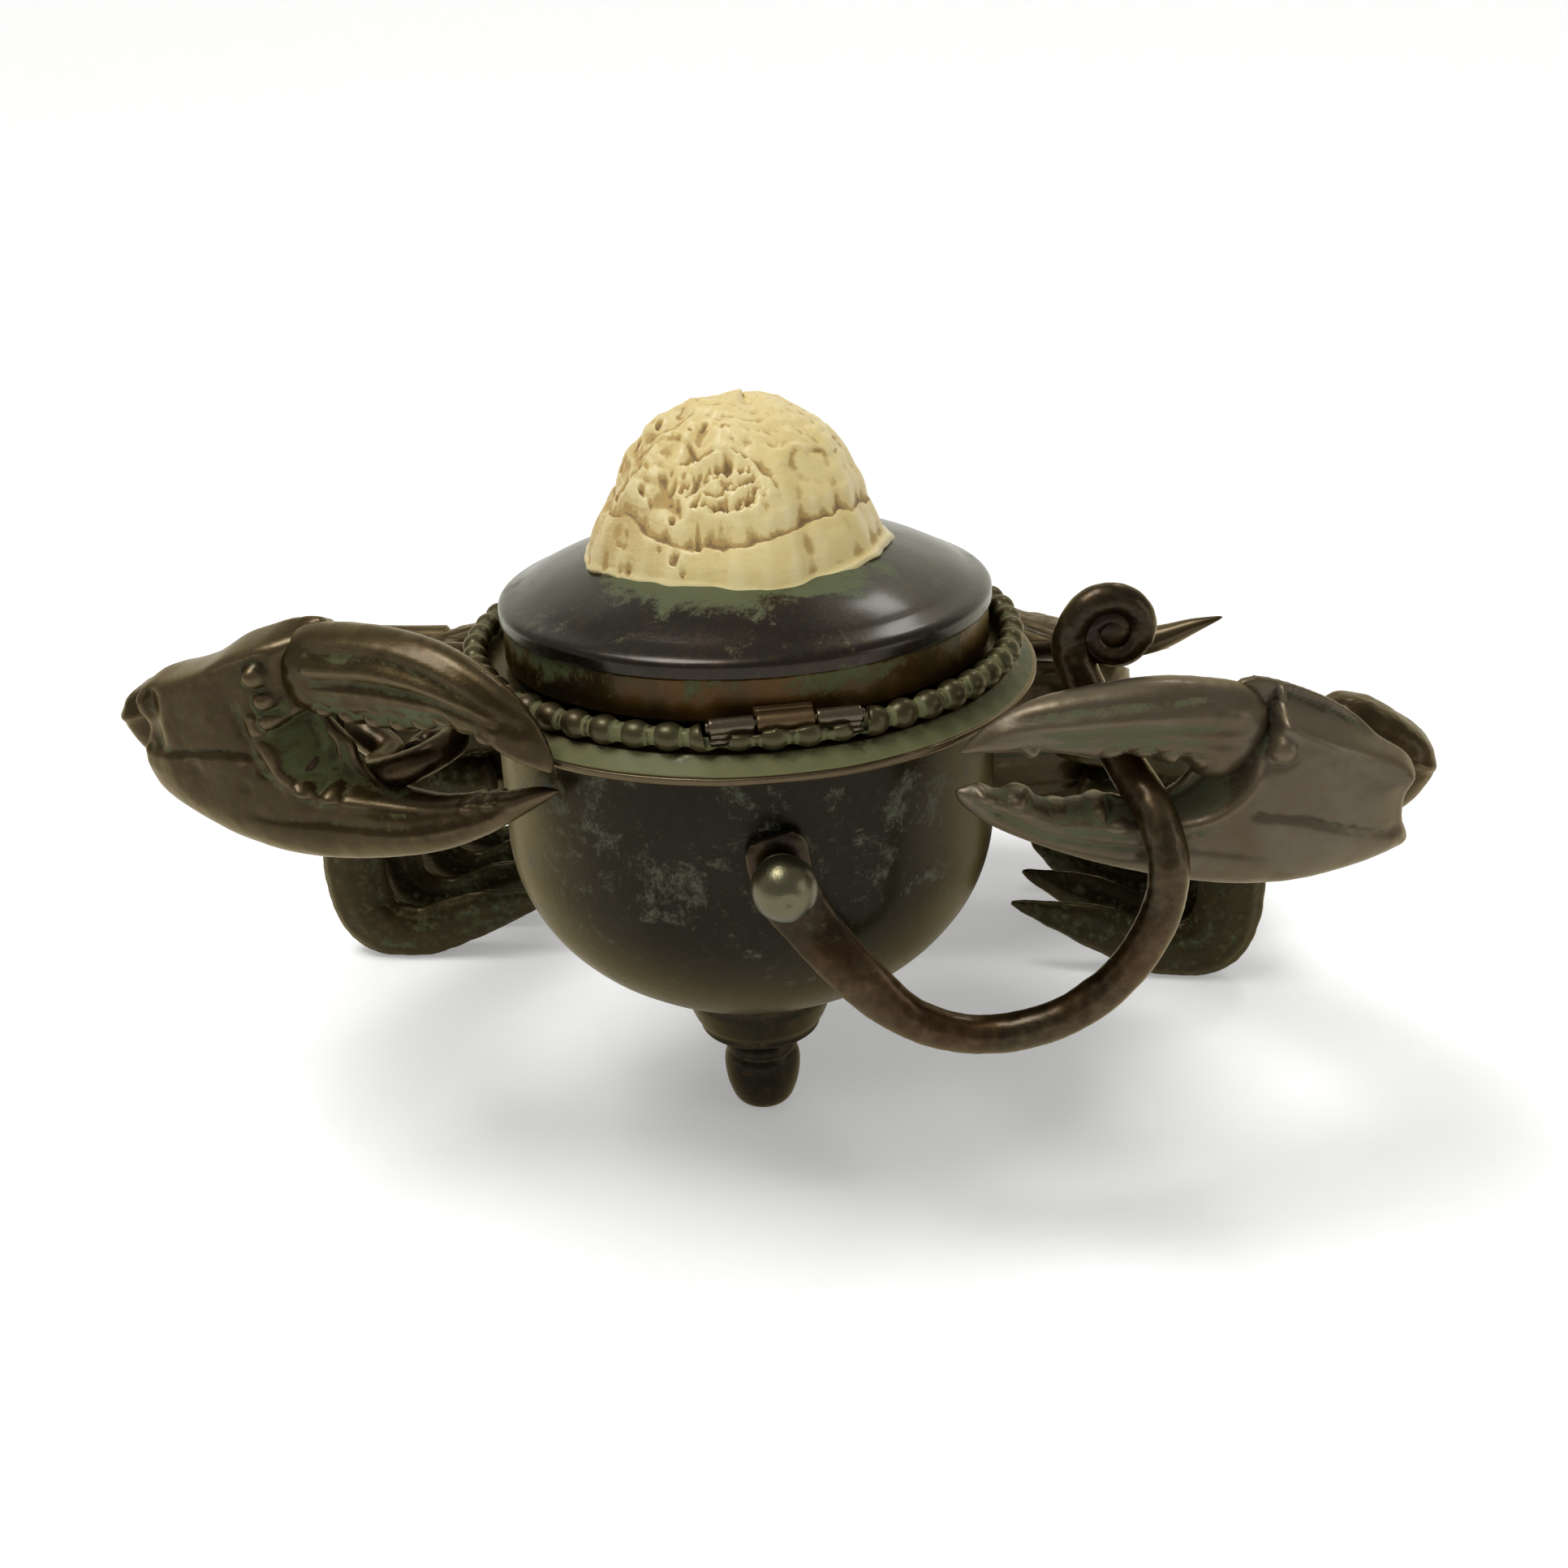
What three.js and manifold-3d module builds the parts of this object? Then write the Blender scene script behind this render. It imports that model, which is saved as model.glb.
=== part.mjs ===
// Crab inkwell: a lidded bronze pot on a drop foot, held between the claws of a crab that stands behind it.
// Millimetres, +Z up. The origin is the middle of the flat under the drop foot, on the pot's own axis.
// The crab is symmetric about X = 0 and stands on the +Y side; the pot's hinge and hooks face -Y.

import * as THREE from 'three';
import { mergeVertices } from 'three/addons/utils/BufferGeometryUtils.js';
import Module from 'manifold-3d';

const wasm = await Module();
wasm.setup();

// ---------------------------------------------------------------- driving dimensions

const gap = 0.3;                  // clearance wherever two separate pieces meet

// Bowl: a vertical wall above a half spheroid.
const bowlRadius = 36.9;          // outside radius of the upright wall
const bowlDepth = 29.45;          // depth of the rounded bottom below the upright wall
const bowlWall = 1.8;
const bowlEquator = 52.9;         // height at which the wall turns into the rounded bottom
const bowlTop = 77.7;

// Flange: a flat ring on the bowl whose rim dips outwards.
const flangeThickness = 1.0;
const flangeRadius = 42.75;
const flangeFlat = 40.1;          // radius where the dip starts
const flangeDip = 2.4;
const flangeHole = 30.6;

// Bead ring on the flange.
const beadCount = 54;
const beadRadius = 1.85;
const beadNeck = 1.4;
const beadCircle = 39.0;

// Lid: skirt, shoulder and dome in one shell.
const skirtRadius = 36.2;
const shoulderRadius = 36.5;
const skirtHeight = 6.4;
const domeHeight = 12.2;
const lidTilt = 2.0;                // degrees: the hinge holds the front of the lid a little proud
const lidWall = 1.5;
const lidRingWall = 1.3;
const lidRingHeight = 4.4;

// Hinge.
const hingeAzimuth = 15.9;        // degrees from -Y towards +X
const hingeCircle = 38.05;        // distance of the hinge pin from the pot's axis
const knuckleRadius = 1.15;
const knuckleRise = 3.6;          // height of the pin above the flange
const hingeLength = 20.0;
const lidKnuckle = 7.6;
const pinRadius = 0.5;

// Glass liner.
const linerRadius = 29.3;
const linerWall = 2.6;
const linerFloor = 32.5;
const linerRim = 32.0;
const linerRimHeight = 2.0;

// Foot: flared collar, drop with a waisted neck, threaded stem and nut.
const dropRadius = 6.05;
const dropHeight = 12.8;
const dropFlat = 2.2;
const collarRadius = 12.4;
const collarNeck = 5.6;
const stemRadius = 1.6;
const nutRadius = 3.6;
const nutHeight = 2.4;

// Oyster shell on the lid.
const shellReach = 21.6;          // mean radius of its edge
const shellHeight = 14.4;         // rise above its own edge, at the summit
const shellEdgeThickness = 1.2;
const beddingReach = 17.5;
const beddingThickness = 0.8;
const screwRadius = 1.5;

// Hooks and their rivets.
const hookAzimuth = 13.6;
const sideHookAzimuth = -108;
const rodRadius = 2.6;
const bladeWidth = 8.6;
const bladeThickness = 2.0;
const rivetHeight = 61.0;
const rivetBall = 4.5;
const rivetShank = 1.5;
const washerRadius = 3.6;
const washerThickness = 1.0;

// Crab body.
const bodyPitch = 26;             // degrees, front edge up
const bodyFront = [-2.5, 47, 63]; // middle of the front edge of the carapace
const carapaceHalfWidth = 69;
const carapaceLength = 59;
const carapaceRise = 10;
const carapaceSag = 3.0;
const spineReach = 77.5;
const spineLift = { left: 1.6, right: 4.6 };
const trunkCentre = [-2.5, 70.5, 43];
const trunkHalf = [63, 24, 22.5];
const legMiddle = -1.7;           // the legs' own centre line across
const legReach = 79.8;
const legRadius = 4.9;

// ---------------------------------------------------------------- geometry helpers

const deg = THREE.MathUtils.degToRad;
const vec = (point) => new THREE.Vector3(...point);

// A unit vector that points outwards from the pot's axis, at an azimuth counted from -Y towards +X.
const outward = (azimuth) => new THREE.Vector3(Math.sin(deg(azimuth)), -Math.cos(deg(azimuth)), 0);

// A group-like matrix: local X along the tangent, local Y outwards, local Z up.
function facing(azimuth, distance, height) {
  const out = outward(azimuth);
  const up = new THREE.Vector3(0, 0, 1);
  const along = new THREE.Vector3().crossVectors(out, up);
  const place = new THREE.Matrix4().makeBasis(along, out, up);
  return place.setPosition(out.clone().multiplyScalar(distance).setZ(height));
}

// Merges shared vertices, drops collapsed triangles and turns the faces outwards.
function closed(geometry) {
  geometry.deleteAttribute('normal');
  geometry.deleteAttribute('uv');
  const merged = mergeVertices(geometry, 1e-4);
  const kept = [];
  const index = merged.index.array;
  for (let i = 0; i < index.length; i += 3) {
    const [a, b, c] = [index[i], index[i + 1], index[i + 2]];
    if (a !== b && b !== c && c !== a) kept.push(a, b, c);
  }
  const p = merged.attributes.position;
  let volume = 0;
  for (let i = 0; i < kept.length; i += 3) {
    const [a, b, c] = [0, 1, 2].map((k) => new THREE.Vector3().fromBufferAttribute(p, kept[i + k]));
    volume += a.dot(b.cross(c));
  }
  if (volume < 0) kept.reverse();
  merged.setIndex(kept);
  merged.computeVertexNormals();
  return merged;
}

function toManifold(geometry) {
  const mesh = new wasm.Mesh({
    numProp: 3,
    vertProperties: new Float32Array(geometry.attributes.position.array),
    triVerts: new Uint32Array(geometry.index.array),
  });
  return new wasm.Manifold(mesh);
}

function fromManifold(manifold) {
  const mesh = manifold.getMesh();
  const geometry = new THREE.BufferGeometry();
  geometry.setAttribute('position', new THREE.BufferAttribute(new Float32Array(mesh.vertProperties), 3));
  geometry.setIndex(Array.from(mesh.triVerts));
  return closed(geometry);
}

function join(first, ...others) {
  return fromManifold(others.reduce((whole, other) => whole.add(toManifold(other)), toManifold(first)));
}

function cut(first, ...tools) {
  return fromManifold(tools.reduce((whole, tool) => whole.subtract(toManifold(tool)), toManifold(first)));
}

// A turned piece: its profile is a list of [radius, height].
function turned(profile, segments = 32) {
  const points = profile.map(([radius, height]) => new THREE.Vector2(radius, height));
  return closed(new THREE.LatheGeometry(points, segments).rotateX(Math.PI / 2));
}

// A turned ring, whose profile closes on itself.
const ring = (profile, segments) => turned([...profile, profile[0]], segments);

function bar(width, depth, height, centre) {
  return closed(new THREE.BoxGeometry(width, depth, height).translate(...centre));
}

// A round bar between two heights on local Z, then placed by a matrix.
function rod(radius, from, to, place = new THREE.Matrix4(), segments = 12) {
  const bar = new THREE.CylinderGeometry(radius, radius, to - from, segments).rotateX(Math.PI / 2);
  return closed(bar.translate(0, 0, (from + to) / 2).applyMatrix4(place));
}

// A closed body of oval sections along a smooth spine.
// stations: [x, y, z, half width, half height]; the half height lies along `lift`, the half width across it.
// With `flat` every section stays square to that direction instead of square to the spine.
function loft(stations, { sides = 10, rings = 16, lift = [0, 0, 1], flat = null, shape = null, grow = 0 } = {}) {
  const spine = new THREE.CatmullRomCurve3(stations.map((s) => vec(s.slice(0, 3))), false, 'centripetal');
  const sizes = new THREE.CatmullRomCurve3(stations.map((s) => new THREE.Vector3(s[3], s[4], 0)));
  const ball = new THREE.SphereGeometry(1, sides, rings + 2);
  const position = ball.attributes.position;
  const steps = rings + 2;
  for (let i = 0; i < position.count; i++) {
    const p = new THREE.Vector3().fromBufferAttribute(position, i);
    const row = Math.round(Math.acos(THREE.MathUtils.clamp(p.y, -1, 1)) / Math.PI * steps);
    const u = THREE.MathUtils.clamp((row - 1) / (steps - 2), 0, 1);
    const pole = row === 0 || row === steps;
    const centre = spine.getPoint(u);
    const tangent = flat ? vec(flat) : spine.getTangent(u);
    const up = vec(lift).addScaledVector(tangent, -vec(lift).dot(tangent)).normalize();
    const across = new THREE.Vector3().crossVectors(up, tangent);
    const size = sizes.getPoint(u);
    const angle = Math.atan2(p.z, p.x);
    const swell = shape ? shape(angle, u) : 1;
    const reach = pole ? 0 : swell;
    centre.addScaledVector(across, Math.cos(angle) * (size.x * reach + (pole ? 0 : grow)));
    centre.addScaledVector(up, Math.sin(angle) * (size.y * reach + (pole ? 0 : grow)));
    if (grow && (u === 0 || u === 1)) centre.addScaledVector(tangent, u === 0 ? -grow : grow);
    position.setXYZ(i, centre.x, centre.y, centre.z);
  }
  return closed(ball);
}

// A smooth closed body made by moving each point of a unit ball; rule takes a THREE.Vector3 and changes it.
function moulded(sides, rings, rule) {
  const ball = new THREE.SphereGeometry(1, sides, rings).rotateX(Math.PI / 2);
  const position = ball.attributes.position;
  for (let i = 0; i < position.count; i++) {
    const p = new THREE.Vector3().fromBufferAttribute(position, i);
    rule(p);
    position.setXYZ(i, p.x, p.y, p.z);
  }
  return closed(ball);
}

// ---------------------------------------------------------------- materials and the scene

const bronze = { color: 0x3a3022, roughness: 0.42, metalness: 0.85 };
const darkBronze = { color: 0x241d18, roughness: 0.38, metalness: 0.85 };
const greenBronze = { color: 0x4a5238, roughness: 0.6, metalness: 0.6 };
const warmBronze = { color: 0x4a3826, roughness: 0.4, metalness: 0.85 };
const brass = { color: 0x8a7340, roughness: 0.4, metalness: 0.9 };
const glass = { color: 0xc8d6cc, roughness: 0.1, metalness: 0.0 };
const pearl = { color: 0xd8c9a0, roughness: 0.6, metalness: 0.0 };
const pitch = { color: 0x4a4038, roughness: 0.9, metalness: 0.0 };

const inkwell = new THREE.Group();
const pot = new THREE.Group();
const lid = new THREE.Group();
const crab = new THREE.Group();
inkwell.add(pot, lid, crab);

function piece(parent, name, geometry, finish) {
  const mesh = new THREE.Mesh(geometry, new THREE.MeshStandardMaterial(finish));
  mesh.name = name;
  parent.add(mesh);
  return mesh;
}

// ---------------------------------------------------------------- pot

const flangeTop = bowlTop + gap + flangeThickness;
const beadHeight = flangeTop + gap + beadRadius;
const hingeHeight = flangeTop + knuckleRise;
const leafDrop = 0.85;            // from the knuckles' underside to the underside of the pot's leaf

// Points of the bowl's outside, or of a surface `inset` inside it, from the axis up to the equator.
function bowlCurve(inset, steps, from = 0) {
  const points = [];
  for (let i = 0; i <= steps; i++) {
    const angle = (from + (Math.PI / 2 - from) * i / steps);
    const radius = (bowlRadius - inset) * Math.sin(angle);
    points.push([radius, bowlEquator - (bowlDepth - inset) * Math.cos(angle)]);
  }
  return points;
}

const stemHole = stemRadius + gap;
const shankHole = rivetShank + gap;
const rivets = { front: hookAzimuth, side: sideHookAzimuth };

function bowl() {
  const outside = bowlCurve(0, 8);
  const inside = bowlCurve(bowlWall, 7).reverse();
  const wall = turned([...outside, [bowlRadius, bowlTop], [bowlRadius - bowlWall, bowlTop], ...inside], 30);
  const holes = [rod(stemHole, bowlEquator - bowlDepth - 2, bowlEquator - bowlDepth + bowlWall + 2)];
  for (const azimuth of Object.values(rivets)) {
    const place = facing(azimuth, bowlRadius, rivetHeight).multiply(new THREE.Matrix4().makeRotationX(-Math.PI / 2));
    holes.push(rod(shankHole, -2 * bowlWall, 2 * bowlWall, place));
  }
  return cut(wall, ...holes);
}

function flange() {
  const under = flangeTop - flangeThickness;
  const edge = flangeTop - flangeDip;
  return ring([
    [flangeHole, under], [flangeFlat - 0.4, under], [flangeRadius - 0.5, edge - flangeThickness],
    [flangeRadius, edge - 0.6 * flangeThickness], [flangeRadius, edge], [flangeRadius - 0.4, edge + 0.3],
    [flangeFlat, flangeTop], [flangeHole, flangeTop],
  ], 36);
}

// The bead ring: a torus whose tube swells into beads, planed down where the hinge sits.
function beads() {
  const steps = 2;
  const torus = new THREE.TorusGeometry(beadCircle, 1, 6, beadCount * steps);
  const position = torus.attributes.position;
  for (let i = 0; i < position.count; i++) {
    const p = new THREE.Vector3().fromBufferAttribute(position, i);
    const around = Math.atan2(p.y, p.x);
    const wave = 0.5 + 0.5 * Math.cos(around * beadCount);
    const size = beadNeck + (beadRadius - beadNeck) * Math.sqrt(Math.max(wave, 0));
    const radial = Math.hypot(p.x, p.y) - beadCircle;
    const reach = beadCircle + radial * size;
    position.setXYZ(i, Math.cos(around) * reach, Math.sin(around) * reach, beadHeight + p.z * size);
  }
  const seatHeight = hingeHeight - knuckleRadius - leafDrop - 0.2;
  const seat = bar(hingeLength + 6 * gap, 4, 4, [0, hingeCircle - 0.3, seatHeight + 2]);
  return cut(closed(torus), seat.applyMatrix4(facing(hingeAzimuth, 0, 0)));
}

function liner() {
  const rimBottom = flangeTop + gap;
  const bend = linerFloor + 17;
  return turned([
    [0, linerFloor], [13, linerFloor], [21.5, linerFloor + 3], [27, linerFloor + 9], [linerRadius, bend],
    [linerRadius, rimBottom], [linerRim, rimBottom], [linerRim, rimBottom + linerRimHeight],
    [linerRadius - linerWall, rimBottom + linerRimHeight], [linerRadius - linerWall, bend],
    [24, linerFloor + 10.5], [19, linerFloor + 5.5], [12, linerFloor + linerWall], [0, linerFloor + linerWall],
  ], 24);
}

// The collar follows the bowl's underside, a gap below it.
function collar() {
  const top = [];
  for (let i = 0; i <= 3; i++) {
    const radius = stemHole + (collarRadius - stemHole) * i / 3;
    const drop = bowlDepth * Math.sqrt(1 - (radius / bowlRadius) ** 2);
    top.push([radius, bowlEquator - drop - gap - 0.1]);
  }
  const foot = dropHeight + gap;
  return ring([
    ...top, [collarRadius - 0.4, foot + 8.5], [10.4, foot + 4.4], [8.7, foot + 2.4], [collarNeck + 0.7, foot + 0.9],
    [collarNeck, foot], [stemHole, foot],
  ], 20);
}

const nutSeat = bowlEquator - bowlDepth + bowlWall + 2 * gap;

function drop() {
  return turned([
    [0, 0], [dropFlat, 0], [4.3, 1.3], [5.5, 3.9], [dropRadius, 7.2], [5.95, 9.2], [5.55, 10.7], [5.75, 11.6],
    [5.3, dropHeight], [stemRadius, dropHeight], [stemRadius, nutSeat + nutHeight + 1], [0, nutSeat + nutHeight + 1],
  ], 20);
}

function nut() {
  const hexagon = closed(new THREE.CylinderGeometry(nutRadius, nutRadius, nutHeight, 6).rotateX(Math.PI / 2));
  hexagon.translate(0, 0, nutSeat + nutHeight / 2);
  return cut(hexagon, rod(stemHole, nutSeat - 1, nutSeat + nutHeight + 1));
}

piece(pot, 'pot_bowl', bowl(), darkBronze);
piece(pot, 'rim_flange', flange(), greenBronze);
piece(pot, 'bead_ring', beads(), greenBronze);
piece(pot, 'glass_liner', liner(), glass);
piece(pot, 'foot_collar', collar(), bronze);
piece(pot, 'foot_drop', drop(), bronze);
piece(pot, 'foot_nut', nut(), brass);

// ---------------------------------------------------------------- lid, shell and hinge

const skirtBottom = flangeTop + gap;
const shoulder = skirtBottom + skirtHeight;
const domeTop = shoulder + domeHeight;

// Height of the dome's outside at a distance from the axis.
function domeAt(radius) {
  const share = Math.min(radius / shoulderRadius, 1);
  return shoulder + domeHeight * (1 - share ** 1.82);
}

function lidShell() {
  const outside = [];
  const inside = [];
  const steps = 6;
  for (let i = 0; i <= steps; i++) {
    const radius = shoulderRadius * (1 - i / steps);
    outside.push([radius, domeAt(radius)]);
    const inner = Math.min(radius, skirtRadius - lidWall);
    inside.push([inner, domeAt(inner) - lidWall]);
  }
  const skirt = [[skirtRadius - lidWall, skirtBottom], [skirtRadius, skirtBottom], [skirtRadius, shoulder - 1.2]];
  const shellBody = turned([...inside.reverse(), ...skirt, ...outside], 30);
  return cut(shellBody, rod(screwRadius + gap, domeTop - 2 * lidWall, domeTop + 2));
}

function lidRing() {
  const outer = skirtRadius - lidWall - gap;
  return ring([
    [outer - lidRingWall, skirtBottom], [outer, skirtBottom],
    [outer, skirtBottom + lidRingHeight], [outer - lidRingWall, skirtBottom + lidRingHeight],
  ], 30);
}

// How far the shell's edge reaches at an angle round the lid: broad, with a few lobes.
function shellEdge(angle) {
  const lobes = 0.9 * Math.cos(2 * angle + 0.6) + 0.6 * Math.cos(5 * angle) + 0.4 * Math.sin(9 * angle);
  return shellReach + lobes - 1.1 * Math.sin(angle);
}

function oysterShell() {
  const body = moulded(24, 10, (p) => {
    const flatness = Math.hypot(p.x, p.y);
    const angle = Math.atan2(p.y, p.x);
    const reach = shellEdge(angle) * flatness;
    const floor = domeAt(reach) + 2 * gap + beddingThickness;
    const above = Math.max(p.z, 0);
    const rise = shellEdgeThickness + shellHeight * above ** 1.45;
    const lean = 1.6 * above - 11 * above * (1 - above) * Math.max(Math.cos(angle), 0) * flatness;
    p.set(Math.cos(angle) * reach + lean, Math.sin(angle) * reach, p.z > 0.001 ? floor + rise : floor);
  });
  return cut(body, rod(screwRadius + gap, domeTop - 2, domeTop + 9));
}

function bedding() {
  const profile = [];
  for (const side of [gap, gap + beddingThickness]) {
    const row = [screwRadius + gap, 7, 13, beddingReach].map((radius) => [radius, domeAt(radius) + side]);
    profile.push(...(side === gap ? row : row.reverse()));
  }
  return ring(profile, 24);
}

function shellScrew() {
  const under = domeTop - lidWall - 3 * gap;
  return turned([
    [0, under - 2.2], [2.4, under - 1.8], [3.4, under - 0.6], [3.4, under], [screwRadius, under],
    [screwRadius, domeTop + 8], [0, domeTop + 8],
  ], 12);
}

// Hinge pieces are drawn with local X along the pin, local Y outwards from the pot and local Z up.
const hingePlace = facing(hingeAzimuth, hingeCircle, hingeHeight);
const alongPin = new THREE.Matrix4().makeRotationY(Math.PI / 2);
const knuckle = (from, to) => rod(knuckleRadius, from, to, alongPin, 14);
const pinHole = rod(pinRadius + gap * 0.6, -hingeLength, hingeLength, alongPin, 10);

function potLeaf() {
  const half = hingeLength / 2;
  const inner = lidKnuckle / 2 + gap;
  const strip = bar(hingeLength, 2.0, 0.5, [0, 0.2, 0.25 - knuckleRadius - leafDrop]);
  const pieces = [strip];
  for (const side of [-1, 1]) {
    const middle = side * (half + inner) / 2;
    pieces.push(knuckle(Math.min(side * inner, side * half), Math.max(side * inner, side * half)));
    pieces.push(bar(half - inner, 1.3, knuckleRadius + 0.6, [middle, 0.1, -(knuckleRadius + 0.6) / 2]));
  }
  return cut(join(...pieces), pinHole).applyMatrix4(hingePlace);
}

function lidLeaf() {
  const half = lidKnuckle / 2;
  const behind = skirtRadius + gap - hingeCircle;
  const plate = bar(lidKnuckle, -behind, 1.5, [0, behind / 2 + 0.05, 0.75]);
  const face = bar(lidKnuckle, 0.7, 2.4, [0, behind + 0.4, 1.2]);
  return cut(join(knuckle(-half, half), plate, face), pinHole).applyMatrix4(hingePlace);
}

piece(lid, 'lid_shell', lidShell(), darkBronze);
piece(lid, 'lid_ring', lidRing(), bronze);
piece(lid, 'oyster_shell', oysterShell(), pearl);
piece(lid, 'shell_bedding', bedding(), pitch);
piece(lid, 'shell_screw', shellScrew(), brass);
piece(pot, 'hinge_pot_leaf', potLeaf(), darkBronze);
piece(inkwell, 'hinge_lid_leaf', lidLeaf(), warmBronze);

// The lid leans back about its own rear edge, so that its front stands proud at the hinge.
const lean = new THREE.Matrix4().makeTranslation(0, -skirtRadius, skirtBottom);
lean.multiply(new THREE.Matrix4().makeRotationX(deg(lidTilt)));
lean.multiply(new THREE.Matrix4().makeTranslation(0, skirtRadius, -skirtBottom));
const toHinge = facing(hingeAzimuth, 0, 0);
lid.applyMatrix4(toHinge.clone().multiply(lean).multiply(toHinge.clone().invert()));

const pinReach = hingeLength / 2 + gap;
piece(pot, 'hinge_pin', rod(pinRadius, -pinReach, pinReach, hingePlace.clone().multiply(alongPin), 8), brass);

// ---------------------------------------------------------------- hooks and rivets

// Points of a scroll that winds inwards in the plane of `first` and `second`, starting at its rim.
function scroll(centre, first, second, { radius, start, turns, steps, size }) {
  const points = [];
  for (let i = 0; i <= steps; i++) {
    const share = i / steps;
    const angle = deg(start) + share * turns * 2 * Math.PI;
    const reach = radius * (1 - 0.82 * share);
    const point = vec(centre).addScaledVector(first, Math.cos(angle) * reach);
    point.addScaledVector(second, Math.sin(angle) * reach);
    const half = size * (1 - 0.42 * share);
    points.push([point.x, point.y, point.z, half, half]);
  }
  return points;
}

const bladeMiddle = bowlRadius + gap + bladeThickness / 2;

// A point of a hook's blade: a distance along the tangent, a height and a stand-off from the pot.
function bladePoint(azimuth, along, height, width, thickness, stand = 0) {
  const point = new THREE.Vector3(along, stand, height).applyMatrix4(facing(azimuth, bladeMiddle, 0));
  return [point.x, point.y, point.z, width / 2, thickness / 2];
}

// The front hook hangs below the claw, comes up in front of the lower finger and behind the upper one.
function frontHook() {
  const r = rodRadius;
  const blade = [
    bladePoint(hookAzimuth, 1.0, rivetHeight + 5.4, 5.6, 1.4),
    bladePoint(hookAzimuth, 0.4, rivetHeight + 3.2, bladeWidth, bladeThickness),
    bladePoint(hookAzimuth, -0.6, rivetHeight - 2.5, bladeWidth, bladeThickness),
    bladePoint(hookAzimuth, -4.3, rivetHeight - 9.0, bladeWidth - 0.8, bladeThickness + 0.7, 0.4),
  ];
  const arc = [
    [19.9, -38.0, 45.0, r + 0.9, r - 0.7], [27.3, -37.2, 38.4, r + 0.2, r - 0.1], [36.1, -36.6, 36.3, r, r],
    [46.2, -36.0, 38.7, r, r], [54.6, -35.2, 45.4, r, r], [59.5, -34.4, 54.8, r, r], [60.2, -33.7, 61.8, r, r],
    [58.6, -31.2, 67.2, r, r], [55.3, -26.2, 71.2, r, r], [51.8, -22.0, 76.2, r, r], [48.9, -19.8, 81.6, r, r],
    [47.2, -19.5, 86.0, r, r],
  ];
  const curl = scroll([52.2, -19.5, 88.7], new THREE.Vector3(1, 0.1, 0), new THREE.Vector3(0, 0, 1),
    { radius: 5.0, start: 172, turns: -1.35, steps: 12, size: 2.35 });
  const rod3 = loft([...blade, ...arc, ...curl], { sides: 8, rings: 44, lift: outward(hookAzimuth).toArray() });
  return cut(rod3, rivetBore(hookAzimuth));
}

// The side hook runs from the left of the pot into the gap of the left claw, where its scroll lies flat.
function sideHook() {
  const r = rodRadius;
  const a = sideHookAzimuth;
  const blade = [
    bladePoint(a, -1.0, rivetHeight - 5.4, 5.6, 1.4),
    bladePoint(a, -0.4, rivetHeight - 3.2, bladeWidth, bladeThickness),
    bladePoint(a, 0.6, rivetHeight + 2.5, bladeWidth, bladeThickness),
    bladePoint(a, 1.6, rivetHeight + 7.4, bladeWidth - 1.4, bladeThickness + 1.4, 1.0),
  ];
  const arc = [
    [-46.0, 12.5, 71.6, r, r], [-53.5, 9.0, 72.0, r, r], [-57.5, 0.5, 70.8, r, r], [-55.6, -8.5, 70.2, r, r],
  ];
  const curl = scroll([-45.0, -16.5, 71.6], new THREE.Vector3(0.96, 0, 0.26), new THREE.Vector3(0, 1, -0.05),
    { radius: 8.2, start: 150, turns: 1.15, steps: 10, size: 2.5 });
  const rod3 = loft([...blade, ...arc, ...curl], { sides: 8, rings: 32, lift: outward(a).toArray() });
  return cut(rod3, rivetBore(a));
}

// Rivets lie along the outward direction; local Z of their matrix points outwards.
const rivetPlace = (azimuth) => facing(azimuth, 0, rivetHeight).multiply(new THREE.Matrix4().makeRotationX(-Math.PI / 2));
const rivetBore = (azimuth) => rod(shankHole, bowlRadius - 4, bowlRadius + 8, rivetPlace(azimuth));

function rivet(azimuth) {
  const seat = bladeMiddle + bladeThickness / 2 + gap;
  const inside = bowlRadius - bowlWall - 3 * gap - washerThickness - 1.2;
  const ball = [[shankHole - gap, seat]];
  for (let i = 0; i <= 8; i++) {
    const angle = deg(-55 + 145 * i / 8);
    const radius = i === 8 ? 0 : rivetBall * Math.cos(angle);
    ball.push([radius, seat + rivetBall * (Math.sin(deg(55)) + Math.sin(angle))]);
  }
  return turned([[0, inside], [rivetShank, inside], ...ball], 12).applyMatrix4(rivetPlace(azimuth));
}

function washer(azimuth) {
  const outer = bowlRadius - bowlWall - 2 * gap;
  return ring([
    [shankHole, outer - washerThickness], [washerRadius, outer - washerThickness],
    [washerRadius, outer], [shankHole, outer],
  ], 12).applyMatrix4(rivetPlace(azimuth));
}

piece(pot, 'front_hook', frontHook(), warmBronze);
piece(pot, 'side_hook', sideHook(), warmBronze);
for (const [name, azimuth] of Object.entries(rivets)) {
  piece(pot, `${name}_rivet`, rivet(azimuth), brass);
  piece(pot, `${name}_rivet_washer`, washer(azimuth), brass);
}

// ---------------------------------------------------------------- crab claws

// A claw is drawn in its own plane: local X from the finger tips back to the wrist, local Z up, local Y the
// thickness. Each row is [distance from the tips, lower edge, upper edge, half thickness, offset across].
function clawBody(rows, options) {
  const stations = rows.map(([along, low, high, half, shift = 0]) =>
    [along, shift, (low + high) / 2, half, (high - low) / 2]);
  return loft(stations, { flat: [1, 0, 0], ...options });
}

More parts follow.
